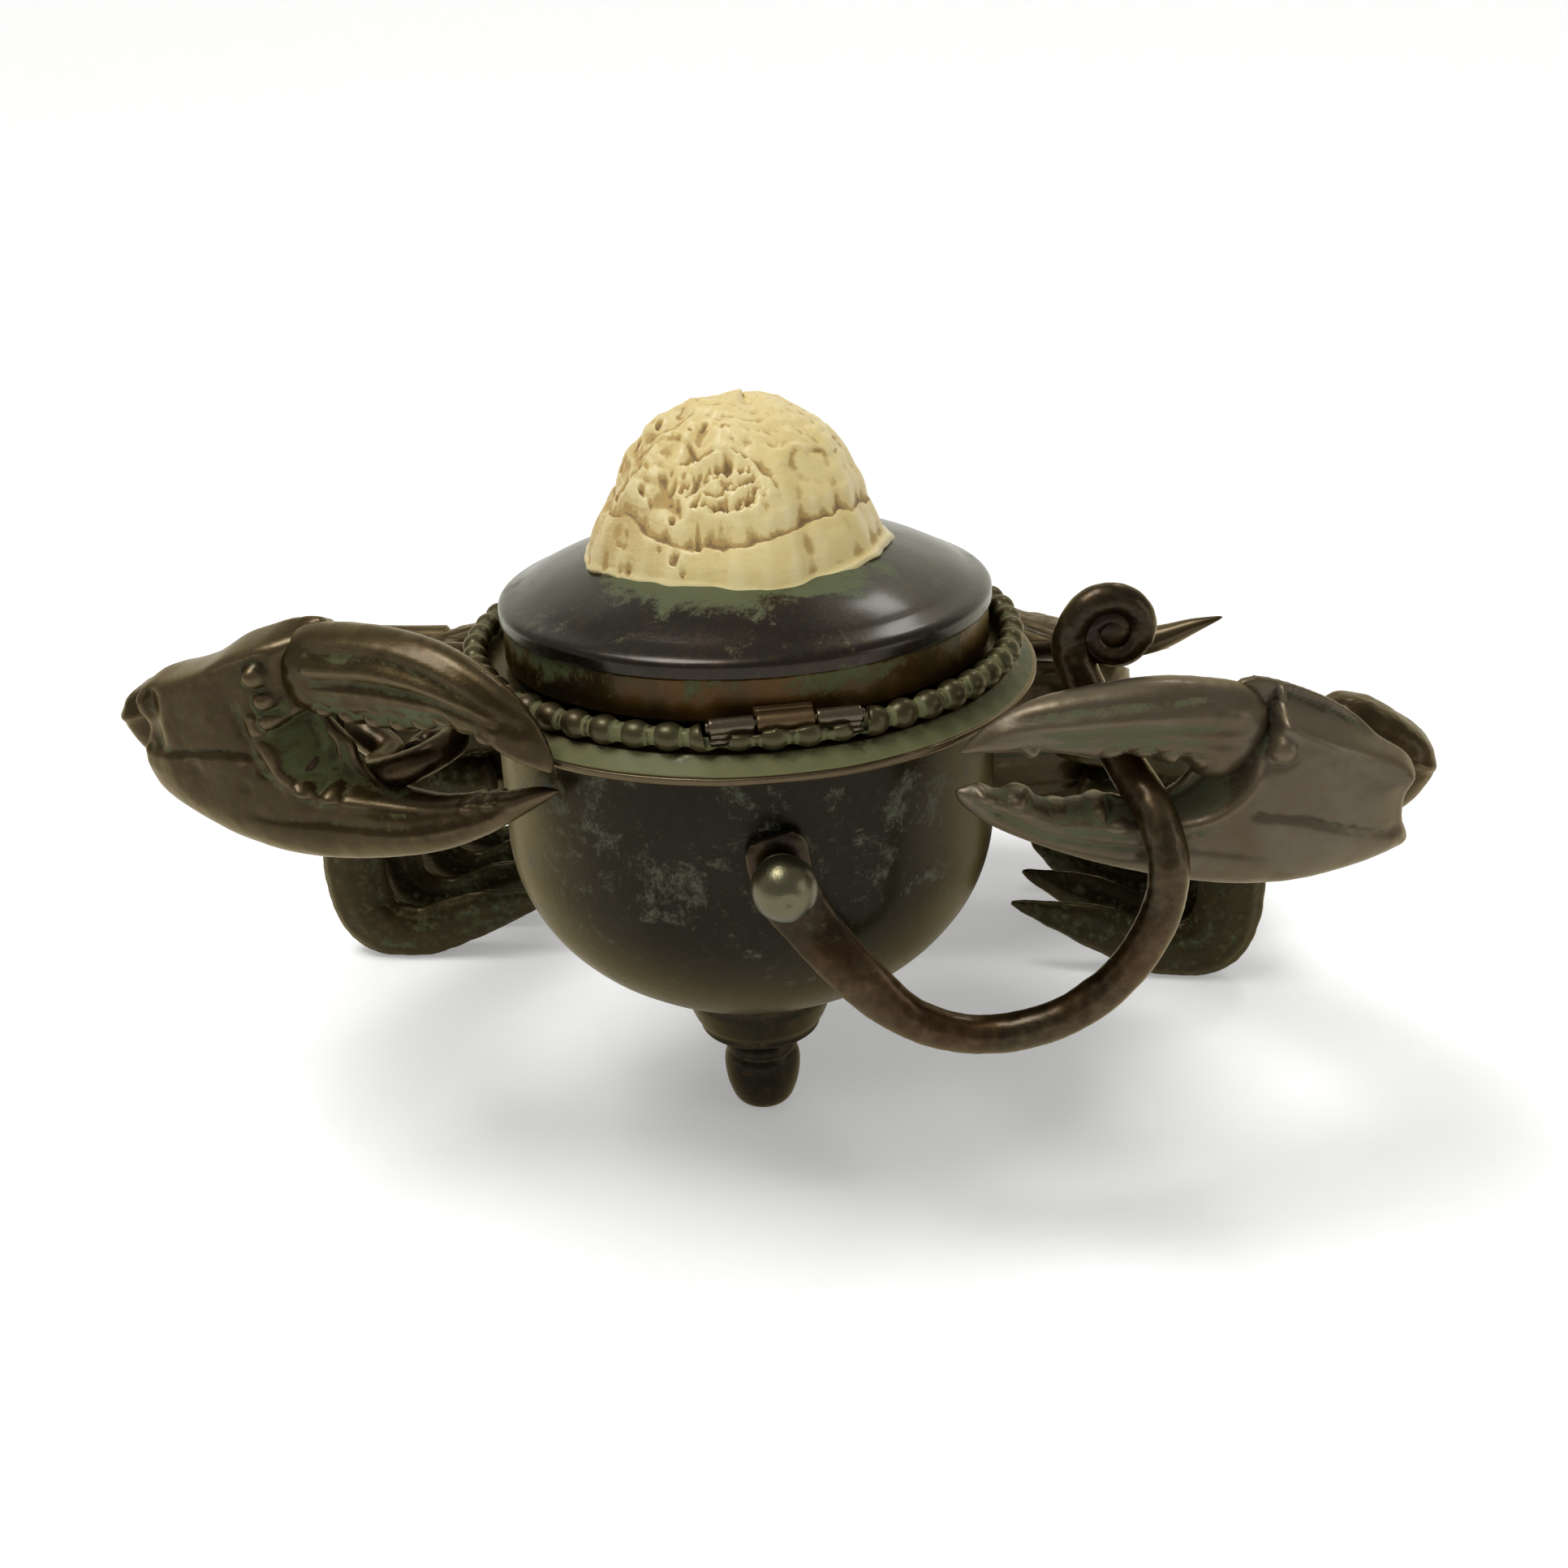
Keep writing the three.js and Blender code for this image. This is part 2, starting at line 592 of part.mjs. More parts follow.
const claws = {
  right: {
    tips: [32, -31.6],
    wrist: [95.7, -18],
    palm: [
      [0.4, 70.0, 71.0, 0.5, 0.8], [3, 66.0, 70.7, 1.9, 0.9], [9.5, 62.6, 69.6, 3.3, 1.0], [19.5, 58.8, 67.4, 4.2, 1.0],
      [30, 55.8, 67.2, 4.9, 0.8], [38.5, 54.7, 67.7, 5.9, 0.5], [42.4, 54.5, 70.0, 6.6, 0.2], [44.3, 54.5, 81.0, 6.9, 0],
      [47, 54.8, 82.9, 7.3, 0], [53.5, 56.6, 80.2, 7.2, 0], [60, 59.5, 77.0, 5.8, 0], [63.6, 62.5, 73.8, 4.4, 0],
    ],
    finger: [
      [0.6, 75.9, 76.6, 0.5, -1.2], [7, 75.9, 80.0, 2.3, -1.4], [13.3, 76.2, 82.4, 3.2, -1.5],
      [20.7, 75.8, 84.1, 3.8, -1.5], [27, 75.2, 84.8, 4.2, -1.3], [33, 73.4, 84.2, 4.6, -1.0],
      [38.5, 71.4, 82.6, 4.8, -0.6], [42.2, 71.2, 80.4, 4.4, -0.2],
    ],
  },
  left: {
    tips: [-21.3, -33.5],
    wrist: [-89.8, -14.9],
    palm: [
      [1.0, 69.6, 70.6, 0.5, 0.4], [6.2, 66.0, 69.0, 2.3, 0.6], [14.4, 61.1, 67.3, 3.6, 0.7], [25.4, 57.5, 66.6, 4.5, 0.8],
      [35, 55.4, 67.4, 5.2, 0.6], [41, 55.2, 68.4, 6.2, 0.3], [43.6, 55.3, 74.0, 6.8, 0.1], [45.3, 55.4, 86.0, 7.0, 0],
      [48, 55.7, 86.8, 7.4, 0], [55, 57.1, 81.5, 7.4, 0], [63, 60.5, 79.5, 6.2, 0], [68, 64.5, 76.5, 4.6, 0],
    ],
    finger: [
      [0.2, 74.2, 75.2, 0.6, -4.6], [4, 74.8, 82.5, 2.3, -5.2], [9, 76.6, 86.4, 3.2, -4.6], [15, 77.2, 89.0, 4.0, -3.6],
      [24, 77.8, 90.8, 4.6, -2.4], [32, 77.9, 91.3, 5.0, -1.4], [38.5, 77.2, 90.4, 5.1, -0.5], [43, 77.2, 88.2, 4.6, -0.1],
    ],
  },
};

// The matrix that puts a claw's own plane into place. Local Y points away from the viewer's side, towards +Y.
function clawPlace({ tips, wrist }) {
  const along = new THREE.Vector3(wrist[0] - tips[0], wrist[1] - tips[1], 0).normalize();
  const up = new THREE.Vector3(0, 0, 1);
  const across = new THREE.Vector3().crossVectors(up, along);
  if (across.y < 0) across.negate();
  return new THREE.Matrix4().makeBasis(along, across, up).setPosition(tips[0], tips[1], 0);
}

// A boss on the palm, just behind the root of the finger.
function knuckleBoss(x, y, z) {
  return closed(new THREE.SphereGeometry(2.3, 8, 6).scale(1, 0.7, 1).translate(x, y, z));
}

function palm(claw) {
  const body = clawBody(claw.palm, { sides: 12, rings: 17 });
  const root = claw.finger.at(-1);
  const boss = knuckleBoss(root[0] + 3.4, -claw.palm[8][3] * 0.93, root[1] + 0.8);
  return closed(join(body, boss).applyMatrix4(clawPlace(claw)));
}

for (const [side, claw] of Object.entries(claws)) {
  piece(crab, `${side}_palm`, palm(claw), bronze);
  const finger = clawBody(claw.finger, { sides: 10, rings: 12 });
  piece(crab, `${side}_finger`, closed(finger.applyMatrix4(clawPlace(claw))), bronze);
}

// ---------------------------------------------------------------- crab body

// Local frame of the carapace: X across, Y backwards along the back, Z out of the back.
const bodyPlace = new THREE.Matrix4().makeRotationX(-deg(bodyPitch)).setPosition(...bodyFront);

// The carapace in plan: wide at the spines, nearly straight in front, drawn in towards the tail.
function carapaceEdge(angle) {
  const back = Math.sin(angle) > 0;
  const depth = back ? carapaceLength * 0.72 : carapaceLength * 0.28;
  const power = back ? 1.35 : 2.6;
  const c = Math.abs(Math.cos(angle) / carapaceHalfWidth) ** power;
  const s = Math.abs(Math.sin(angle) / depth) ** power;
  return (c + s) ** (-1 / power);
}

const carapaceMiddle = carapaceLength * 0.28;

function carapaceDome() {
  return moulded(30, 10, (p) => {
    const angle = Math.atan2(p.y, p.x);
    const reach = carapaceEdge(angle) * Math.hypot(p.x, p.y);
    const height = p.z > 0 ? carapaceRise * p.z ** 2 : carapaceSag * p.z;
    p.set(Math.cos(angle) * reach, carapaceMiddle + Math.sin(angle) * reach, height);
  });
}

// A side spine; `lift` is how far its tip turns up.
function sideSpine(side, lift) {
  const root = carapaceHalfWidth - 9;
  return loft([
    [side * root, 13, 0.2, 3.6, 2.8], [side * (root + 7), 11, 0.3 * lift, 2.9, 2.2],
    [side * (spineReach - 5), 8.5, 0.7 * lift, 1.6, 1.3], [side * spineReach, 7, lift, 0.3, 0.3],
  ], { sides: 8, rings: 4 });
}

function carapace() {
  return join(carapaceDome(), sideSpine(-1, spineLift.left), sideSpine(1, spineLift.right)).applyMatrix4(bodyPlace);
}

// The trunk below the carapace: a boxy body trimmed along the carapace's underside.
function trunk(grow = 0) {
  const [hx, hy, hz] = trunkHalf.map((half) => half + grow);
  const body = moulded(26, 12, (p) => {
    const round = (value) => Math.sign(value) * Math.abs(value) ** 0.62;
    p.set(trunkCentre[0] + hx * round(p.x), trunkCentre[1] + hy * round(p.y), trunkCentre[2] + hz * round(p.z));
  });
  const above = bar(400, 400, 100, [0, 0, 50 - carapaceSag - gap + grow]).applyMatrix4(bodyPlace);
  return cut(body, above);
}

const trunkMould = trunk(gap);

function apron() {
  const low = trunkCentre[2] - trunkHalf[2] - gap;
  return moulded(14, 6, (p) => {
    const taper = 1 - 0.45 * Math.max(p.y, 0);
    p.set(trunkCentre[0] + 11 * p.x * taper, trunkCentre[1] + 1.5 + 17 * p.y, low - 1.1 + 1.0 * p.z);
  });
}

function mouthPlates() {
  const face = trunkCentre[1] - trunkHalf[1] - gap;
  return moulded(12, 6, (p) => {
    p.set(trunkCentre[0] + 9 * p.x, face - 1.3 + 1.2 * p.y, 45 + 10 * p.z);
  });
}

function eye(side) {
  const [x] = bodyFront;
  const stalk = loft([
    [x + side * 9, 44.2, 59.5, 1.5, 1.5], [x + side * 11.5, 43.2, 62.6, 1.7, 1.7],
    [x + side * 13.4, 42.6, 66, 2.6, 2.6], [x + side * 14.2, 42.5, 68.4, 2.5, 2.5],
    [x + side * 14.6, 42.5, 69.8, 1.2, 1.2],
  ], { sides: 8, rings: 7, lift: [0, 1, 0] });
  return cut(stalk, trunkMould);
}

piece(crab, 'carapace', carapace(), bronze);
piece(crab, 'underbody', trunk(), bronze);
piece(crab, 'apron', apron(), bronze);
piece(crab, 'mouth_plates', mouthPlates(), bronze);
piece(crab, 'left_eye', eye(-1), darkBronze);
piece(crab, 'right_eye', eye(1), darkBronze);

// ---------------------------------------------------------------- arms and wrists

function arm(side, elbow) {
  const [x, y, z] = elbow;
  const shoulderX = trunkCentre[0] + side * 57;
  const limb = loft([
    [shoulderX - side * 10, 60, 43, 5.5, 6.5], [shoulderX, 47, 47, 6.0, 7.2],
    [(shoulderX + x) / 2 + side * 3, (38 + y) / 2, (52 + z) / 2, 6.2, 7.2],
    [x - side * 1.5, y + 4, z - 0.8, 5.6, 6.6], [x, y, z, 4.2, 5.2],
  ], { sides: 10, rings: 9 });
  return cut(limb, trunkMould);
}

function wrist(side, elbow, end) {
  const along = (share, axis) => elbow[axis] + (end[axis] - elbow[axis]) * share;
  return loft([
    [...elbow, 3.8, 4.8],
    [along(0.3, 0) + side * 1.2, along(0.3, 1), along(0.3, 2) + 0.4, 5.2, 6.6],
    [along(0.75, 0) + side * 1.2, along(0.75, 1), along(0.75, 2) + 0.2, 5.0, 6.4],
    [...end, 3.6, 4.8],
  ], { sides: 10, rings: 7 });
}

const elbows = { left: [-80.5, 8, 61], right: [85.5, 6.5, 59] };
const wristEnds = { left: [-87.0, -9.8, 69.6], right: [92.0, -11.2, 67.4] };

for (const [side, sign] of [['left', -1], ['right', 1]]) {
  const elbow = elbows[side];
  piece(crab, `${side}_arm`, arm(sign, elbow), bronze);
  const start = [elbow[0] + sign * 0.6, elbow[1] - 1.6, elbow[2] + 0.5];
  piece(crab, `${side}_wrist`, wrist(sign, start, wristEnds[side]), bronze);
}

// ---------------------------------------------------------------- legs

// Each leg leaves the trunk's side, drops to the ground, turns at a blunt corner and runs back inwards.
// spread moves the leg backwards; the soles are planed flat at ground level.
function leg(side, row) {
  const y = 46 + 12.5 * row;
  const place = (reach) => legMiddle + side * reach * (1 - 0.035 * row);
  const r = legRadius - 0.25 * row;
  const route = [
    [place(legReach - 27), y + 5, 33, r * 0.9, r * 0.8], [place(legReach - 12), y + 2.5, 33, r * 1.15, r * 0.85],
    [place(legReach - 2), y, 26, r * 1.2, r * 0.8], [place(legReach), y - 1, 16, r * 1.2, r * 0.75],
    [place(legReach - 3), y - 1.5, 7, r * 1.25, r * 0.7], [place(legReach - 11), y - 1.5, r, r * 1.05, r * 0.62],
    [place(legReach - 22), y - 1, 8.4, r * 0.95, r * 0.5], [place(legReach - 38.5 + 3.5 * row), y, 12.8, 0.8, 0.6],
  ];
  const whole = loft(route, { sides: 8, rings: 13, lift: [0, 1, 0] });
  const ground = bar(400, 400, 50, [0, 0, -25]);
  return cut(whole, trunkMould, ground);
}

const legNames = ['first', 'second', 'third', 'fourth'];
for (const [side, sign] of [['left', -1], ['right', 1]]) {
  legNames.forEach((name, row) => piece(crab, `${side}_${name}_leg`, leg(sign, row), bronze));
}

export default inkwell;
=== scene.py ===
"""Crab inkwell: the fine surfaces, finishes, light and camera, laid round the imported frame.

Shapes are worked out in millimetres, +Z up, with the origin under the drop foot, and are
turned into metres when a piece is made.
"""

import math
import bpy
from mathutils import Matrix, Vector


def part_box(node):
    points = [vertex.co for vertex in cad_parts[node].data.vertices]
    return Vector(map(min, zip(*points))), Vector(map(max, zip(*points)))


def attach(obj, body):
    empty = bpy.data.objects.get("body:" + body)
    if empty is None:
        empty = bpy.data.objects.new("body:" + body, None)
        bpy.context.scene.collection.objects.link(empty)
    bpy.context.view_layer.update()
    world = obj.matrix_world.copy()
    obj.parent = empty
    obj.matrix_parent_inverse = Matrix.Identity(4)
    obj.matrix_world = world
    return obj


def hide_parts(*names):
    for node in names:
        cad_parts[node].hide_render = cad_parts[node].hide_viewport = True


bl_info = {
    "name": "Crab Inkwell",
    "version": (1, 0, 0),
    "blender": (4, 5, 0),
    "location": "View3D > Sidebar > Inkwell",
    "description": "A bronze pot held by a crab, with hooks, a beaded rim and a shell on its lid",
    "category": "Add Mesh",
}

import bmesh
import bpy
import numpy as np
from bpy.props import FloatProperty, FloatVectorProperty, IntProperty, PointerProperty
from mathutils import Matrix, Vector, noise

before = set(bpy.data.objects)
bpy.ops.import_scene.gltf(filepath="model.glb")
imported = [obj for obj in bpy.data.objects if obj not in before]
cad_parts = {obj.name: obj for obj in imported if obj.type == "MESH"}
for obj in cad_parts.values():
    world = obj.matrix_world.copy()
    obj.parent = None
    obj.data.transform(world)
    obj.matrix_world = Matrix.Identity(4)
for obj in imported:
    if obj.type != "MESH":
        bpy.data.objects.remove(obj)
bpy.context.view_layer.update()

MM = 0.001
TURN = 2 * math.pi
SIDES = {"left": -1, "right": 1}


# ------------------------------------------------------------------ sizes and colours


def millimetres(name, default, description):
    return FloatProperty(
        name=name, description=description, default=default * MM, unit="LENGTH", precision=4
    )


def colour(name, default, description):
    return FloatVectorProperty(
        name=name, description=description, default=default, subtype="COLOR", size=3, min=0, max=1
    )


class InkwellSizes(bpy.types.PropertyGroup):
    """Sizes of the fine work on the inkwell."""

    bead_radius: millimetres("Bead radius", 1.95, "Half the thickness of a bead on the rim")
    bead_count: IntProperty(name="Beads", description="Beads round the rim", default=54, min=8)
    rod_radius: millimetres("Hook rod radius", 2.75, "Half the thickness of the hooks' rod")
    rivet_radius: millimetres("Rivet ball radius", 4.5, "Radius of a hook rivet's round head")
    shell_height: millimetres("Shell height", 14.4, "Rise of the oyster shell above its edge")
    claw_voxel: millimetres("Claw detail", 0.42, "Fineness of the claws' cast surface")


class InkwellColours(bpy.types.PropertyGroup):
    """Colours of the inkwell's finishes."""

    bowl: colour("Bowl bronze", (0.006, 0.005, 0.003), "Ground colour of the bowl")
    lid: colour("Lid bronze", (0.012, 0.009, 0.006), "Ground colour of the lid's dome")
    hook: colour("Hook bronze", (0.013, 0.009, 0.004), "Ground colour of the hooks")
    foot: colour("Foot bronze", (0.005, 0.005, 0.003), "Ground colour of the foot")
    crab: colour("Crab bronze", (0.036, 0.025, 0.008), "Ground colour of the crab and its left claw")
    # Painted light: the right claw's ground is a brighter, lit copy of the crab bronze, standing in for the
    # stronger light on that side.
    claw: colour("Pale bronze", (0.115, 0.095, 0.066), "Ground colour of the paler right claw")
    leg: colour("Leg bronze", (0.020, 0.018, 0.006), "Ground colour of the legs and arms")
    brass: colour("Brass", (0.125, 0.118, 0.068), "The rivets and other small fittings")
    warm: colour("Warm bronze", (0.100, 0.048, 0.014), "Rubbed, reddish places")
    gold: colour("Rubbed metal", (0.20, 0.145, 0.078), "Bare metal on worn edges")
    green: colour("Green patina", (0.125, 0.130, 0.055), "Yellow-green patina")
    verdigris: colour("Verdigris", (0.075, 0.110, 0.065), "Blue-green patina in hollows")
    cream: colour("Shell cream", (0.76, 0.60, 0.25), "Ground colour of the oyster shell")
    tan: colour("Shell tan", (0.42, 0.26, 0.07), "Stains between the shell's layers")
    glass: colour("Liner glass", (0.82, 0.90, 0.85), "Tint of the glass liner")
    floor: colour("Floor", (0.88, 0.88, 0.87), "The floor's colour")


class InkwellStage(bpy.types.PropertyGroup):
    """The camera's place and the strength of the light."""

    distance: millimetres("Camera distance", 290, "From the middle of the rim to the camera")
    elevation: FloatProperty(
        name="Elevation", description="Height of the camera's view",
        default=math.radians(20.9), subtype="ANGLE",
    )
    azimuth: FloatProperty(
        name="Azimuth", description="How far round to the right the camera stands",
        default=math.radians(8.5), subtype="ANGLE",
    )
    roll: FloatProperty(
        name="Roll", description="Tilt of the camera about its own line of sight",
        default=math.radians(-2.18), subtype="ANGLE",
    )
    lens: FloatProperty(
        name="Lens", description="Focal length for a 36 mm sensor", default=45.03, subtype="DISTANCE_CAMERA"
    )
    room: FloatProperty(name="Room light", description="Brightness of the plain surroundings", default=0.34)
    key: FloatProperty(name="Key light", description="Power of the large top light", default=2.6)
    lamp: FloatProperty(name="Lamp", description="Power of the small lamp behind", default=0.6)
    left: FloatProperty(name="Left light", description="Power of the light on the left", default=0.15)
    right: FloatProperty(name="Right light", description="Power of the light on the right", default=1.0)
    sun: FloatProperty(name="Even light", description="Strength of the even light from above", default=1.1)


def sizes():
    return bpy.context.scene.inkwell_sizes


def colours():
    return bpy.context.scene.inkwell_colours


# ------------------------------------------------------------------ shape helpers


def outward(azimuth):
    """Unit vector away from the pot's axis; the azimuth counts from -Y towards +X, in degrees."""
    angle = math.radians(azimuth)
    return np.array([math.sin(angle), -math.cos(angle), 0.0])


def facing(azimuth, distance=0.0, height=0.0):
    """Matrix with local X along the pot's side, local Y outwards and local Z up."""
    out = outward(azimuth)
    up = np.array([0.0, 0.0, 1.0])
    place = np.eye(4)
    place[:3, 0], place[:3, 1], place[:3, 2] = np.cross(out, up), out, up
    place[:3, 3] = out * distance + up * height
    return place


def shifted(x=0.0, y=0.0, z=0.0):
    place = np.eye(4)
    place[:3, 3] = (x, y, z)
    return place


def spun(axis, degrees):
    return np.array(Matrix.Rotation(math.radians(degrees), 4, axis))


def moved(points, place):
    points = np.asarray(points, float)
    return points @ place[:3, :3].T + place[:3, 3]


def smooth_line(knots, count):
    """Points along a smooth line through the knots, the same count of steps between each two."""
    knots = np.asarray(knots, float)
    padded = np.vstack([2 * knots[0] - knots[1], knots, 2 * knots[-1] - knots[-2]])
    last = len(knots) - 1
    line = []
    for t in np.linspace(0, last, count):
        i = min(int(t), last - 1)
        w = t - i
        p = padded[i : i + 4]
        d = [max(float(((p[k + 1] - p[k]) ** 2).sum()), 1e-12) ** 0.25 for k in range(3)]
        d[1] = d[1] if d[1] > 1e-4 else 1.0
        d[0] = d[0] if d[0] > 1e-4 else d[1]
        d[2] = d[2] if d[2] > 1e-4 else d[1]
        a = ((p[1] - p[0]) / d[0] - (p[2] - p[0]) / (d[0] + d[1]) + (p[2] - p[1]) / d[1]) * d[1]
        b = ((p[2] - p[1]) / d[1] - (p[3] - p[1]) / (d[1] + d[2]) + (p[3] - p[2]) / d[2]) * d[1]
        bend = -3 * p[1] + 3 * p[2] - 2 * a - b
        line.append(p[1] + a * w + bend * w**2 + (2 * p[1] - 2 * p[2] + a + b) * w**3)
    return np.array(line)


def soft_corners(profile, radius, closed=False, steps=4):
    """A profile whose corners are rounded by about the radius."""
    profile = [np.asarray(p, float) for p in profile]
    count = len(profile)
    out = []
    for i, corner in enumerate(profile):
        if not closed and i in (0, count - 1):
            out.append(corner)
            continue
        before, after = profile[i - 1], profile[(i + 1) % count]
        reach_in = min(radius, 0.45 * np.linalg.norm(before - corner))
        reach_out = min(radius, 0.45 * np.linalg.norm(after - corner))
        start = corner + (before - corner) / max(np.linalg.norm(before - corner), 1e-9) * reach_in
        end = corner + (after - corner) / max(np.linalg.norm(after - corner), 1e-9) * reach_out
        for t in np.linspace(0, 1, steps):
            out.append((1 - t) ** 2 * start + 2 * t * (1 - t) * corner + t**2 * end)
    return out


def turned(profile, segments=128, closed=False):
    """A turned body: points and faces from a list of [radius, height]; open profiles end on the axis."""
    gaps = [1.0] + [np.linalg.norm(step) for step in np.diff(np.array(profile), axis=0)]
    profile = [p for p, gap in zip(profile, gaps) if gap > 1e-5]
    angles = np.arange(segments) * TURN / segments
    points, rows = [], []
    for radius, height in profile:
        if abs(radius) < 1e-6:
            rows.append([len(points)])
            points.append((0.0, 0.0, height))
        else:
            rows.append(list(range(len(points), len(points) + segments)))
            points.extend((radius * math.cos(a), radius * math.sin(a), height) for a in angles)
    faces = []
    above = rows[1:] + rows[:1] if closed else rows[1:]
    for lower, upper in zip(rows, above):
        for j in range(segments):
            k = (j + 1) % segments
            if len(lower) == 1 and len(upper) == 1:
                break
            if len(lower) == 1:
                faces.append((lower[0], upper[k], upper[j]))
            elif len(upper) == 1:
                faces.append((lower[j], lower[k], upper[0]))
            else:
                faces.append((lower[j], lower[k], upper[k], upper[j]))
    return np.array(points), faces


def quads(rows, columns, joined=False):
    """Faces over rows of points that each go round; joined closes the last row to the first."""
    faces = []
    for i in range(rows if joined else rows - 1):
        low, high = i * columns, (i + 1) % rows * columns
        for j in range(columns):
            k = (j + 1) % columns
            faces.append((low + j, low + k, high + k, high + j))
    return faces


def skin(sections):
    """Points and faces over a row of closed sections, with a cap at each end."""
    rows, columns = sections.shape[:2]
    points = list(sections.reshape(-1, 3))
    faces = quads(rows, columns)
    first, last = len(points), len(points) + 1
    points.extend([sections[0].mean(0), sections[-1].mean(0)])
    top = (rows - 1) * columns
    for j in range(columns):
        k = (j + 1) % columns
        faces.append((first, k, j))
        faces.append((last, top + j, top + k))
    return np.array(points), faces


def loft(stations, rings=120, sides=40, lift=(0, 0, 1), shape=None):
    """Closed body of oval sections. stations: [x, y, z, half width, half height along lift]."""
    stations = np.asarray(stations, float)
    spine = smooth_line(stations[:, :3], rings)
    widths = smooth_line(stations[:, 3:5], rings)
    tangent = np.gradient(spine, axis=0)
    tangent /= np.linalg.norm(tangent, axis=1)[:, None]
    lift = np.asarray(lift, float)
    up = lift - tangent * (tangent @ lift)[:, None]
    up /= np.linalg.norm(up, axis=1)[:, None]
    across = np.cross(up, tangent)
    angles = np.arange(sides) * TURN / sides
    share = np.linspace(0, 1, rings)
    swell = np.ones((rings, sides)) if shape is None else shape(angles[None, :], share[:, None])
    # The last steps at each end close in, so that the ends are round.
    close = np.ones(rings)
    for i, size in enumerate((0.45, 0.75, 0.92)):
        close[i], close[-1 - i] = size, size
    reach = swell * close[:, None]
    wide = np.cos(angles)[None, :] * widths[:, 0:1] * reach
    high = np.sin(angles)[None, :] * widths[:, 1:2] * reach
    return spine[:, None] + across[:, None] * wide[..., None] + up[:, None] * high[..., None]


def pushed(sections, amount):
    """Moves each point away from the middle of its section by its own amount."""
    push = sections - sections.mean(1, keepdims=True)
    push = push / np.maximum(np.linalg.norm(push, axis=2, keepdims=True), 1e-6)
    return sections + push * amount.reshape(sections.shape[:2])[..., None]


def merged(*parts):
    """Several bodies as one list of points and faces."""
    points, faces, start = [], [], 0
    for some_points, some_faces in parts:
        points.append(np.asarray(some_points, float))
        faces.extend(tuple(i + start for i in face) for face in some_faces)
        start += len(some_points)
    return np.vstack(points), faces


def grain(points, size, octaves=3, seed=0.0):
    """Smooth noise between about -1 and 1 whose lumps are `size` millimetres across."""
    offset = Vector((seed, 0.37 * seed, -0.61 * seed))
    values = [noise.fractal(Vector(p) / size + offset, 0.9, 2.1, octaves) for p in points]
    return np.array(values)


def bump(distance, width):
    """1 at no distance, falling away smoothly over the width."""
    return np.exp(-((distance / width) ** 2))


def smoothstep(value, low, high):
    """0 below low, 1 above high, smooth in between."""
    t = np.clip((value - low) / (high - low), 0, 1)
    return t * t * (3 - 2 * t)


def along_line(points, line):
    """For points in a plane: distance to a line of knots, side of it (+ on its left) and share along it."""
    line = np.asarray(line, float)
    best = np.full(len(points), 1e9)
    side = np.zeros(len(points))
    share = np.zeros(len(points))
    lengths = np.linalg.norm(np.diff(line, axis=0), axis=1)
    total, run = lengths.sum(), 0.0
    for a, b, length in zip(line[:-1], line[1:], lengths):
        d = (b - a) / max(length, 1e-9)
        rel = points - a
        t = np.clip(rel @ d, 0, length)
        gap = rel - t[:, None] * d
        distance = np.hypot(gap[:, 0], gap[:, 1])
        near = distance < best
        best[near] = distance[near]
        cross = d[0] * rel[:, 1] - d[1] * rel[:, 0]
        side[near] = np.sign(cross[near])
        share[near] = ((run + t) / total)[near]
        run += length
    return best, side, share


# ------------------------------------------------------------------ making pieces

RELIEF_REACH = 1.2
FULL_RELIEF = 0.16
SMOOTHING_PASSES = (3, 60)


def read_points(mesh, name="co"):
    """The mesh's points, or its normals, as rows of three numbers."""
    values = np.empty(len(mesh.vertices) * 3)
    mesh.vertices.foreach_get(name, values)
    return values.reshape(-1, 3)


def edge_ends(mesh):
    """The first and the second point of every edge."""
    ends = np.empty(len(mesh.edges) * 2, int)
    mesh.edges.foreach_get("vertices", ends)
    return ends.reshape(-1, 2).T


def relax(mesh, points, passes):
    """Evens out points along the mesh's edges."""
    a, b = edge_ends(mesh)
    count = len(points)
    degree = np.maximum(np.bincount(a, minlength=count) + np.bincount(b, minlength=count), 1)
    for _ in range(passes):
        total = np.empty_like(points)
        for k in range(3):
            total[:, k] = np.bincount(a, points[b, k], count) + np.bincount(b, points[a, k], count)
        points = 0.5 * points + 0.5 * total / degree[:, None]
    return points


def mark(mesh, name, values):
    """Stores a number from 0 to 1 at every point, for the finishes to read."""
    attribute = mesh.attributes.new(name, "FLOAT", "POINT")
    attribute.data.foreach_set("value", np.clip(values, 0, 1).astype(np.float32))


def mark_relief(mesh, reach):
    """Marks how far each point stands out of (worn) or lies in (sunk) the surface within its reach."""
    points = read_points(mesh) / MM
    a, b = edge_ends(mesh)
    edge = float(np.median(np.linalg.norm(points[a] - points[b], axis=1)))
    passes = int(np.clip((reach / max(edge, 1e-3)) ** 2, *SMOOTHING_PASSES))
    soft = relax(mesh, points, passes)
    relief = ((points - soft) * read_points(mesh, "normal")).sum(1) / (FULL_RELIEF * reach)
    mark(mesh, "worn", relief)
    mark(mesh, "sunk", -relief)


def piece(name, shape, material, body="stand", nodes=(), reach=RELIEF_REACH, aged=None):
    """Makes a piece from points and faces, rides it on a body and stands it in for CAD nodes."""
    points, faces = shape
    mesh = bpy.data.meshes.new(name)
    mesh.from_pydata((np.asarray(points) * MM).tolist(), [], [tuple(f) for f in faces])
    edit = bmesh.new()
    edit.from_mesh(mesh)
    bmesh.ops.recalc_face_normals(edit, faces=edit.faces)
    edit.to_mesh(mesh)
    edit.free()
    return dress(name, mesh, material, body, nodes, reach, aged)


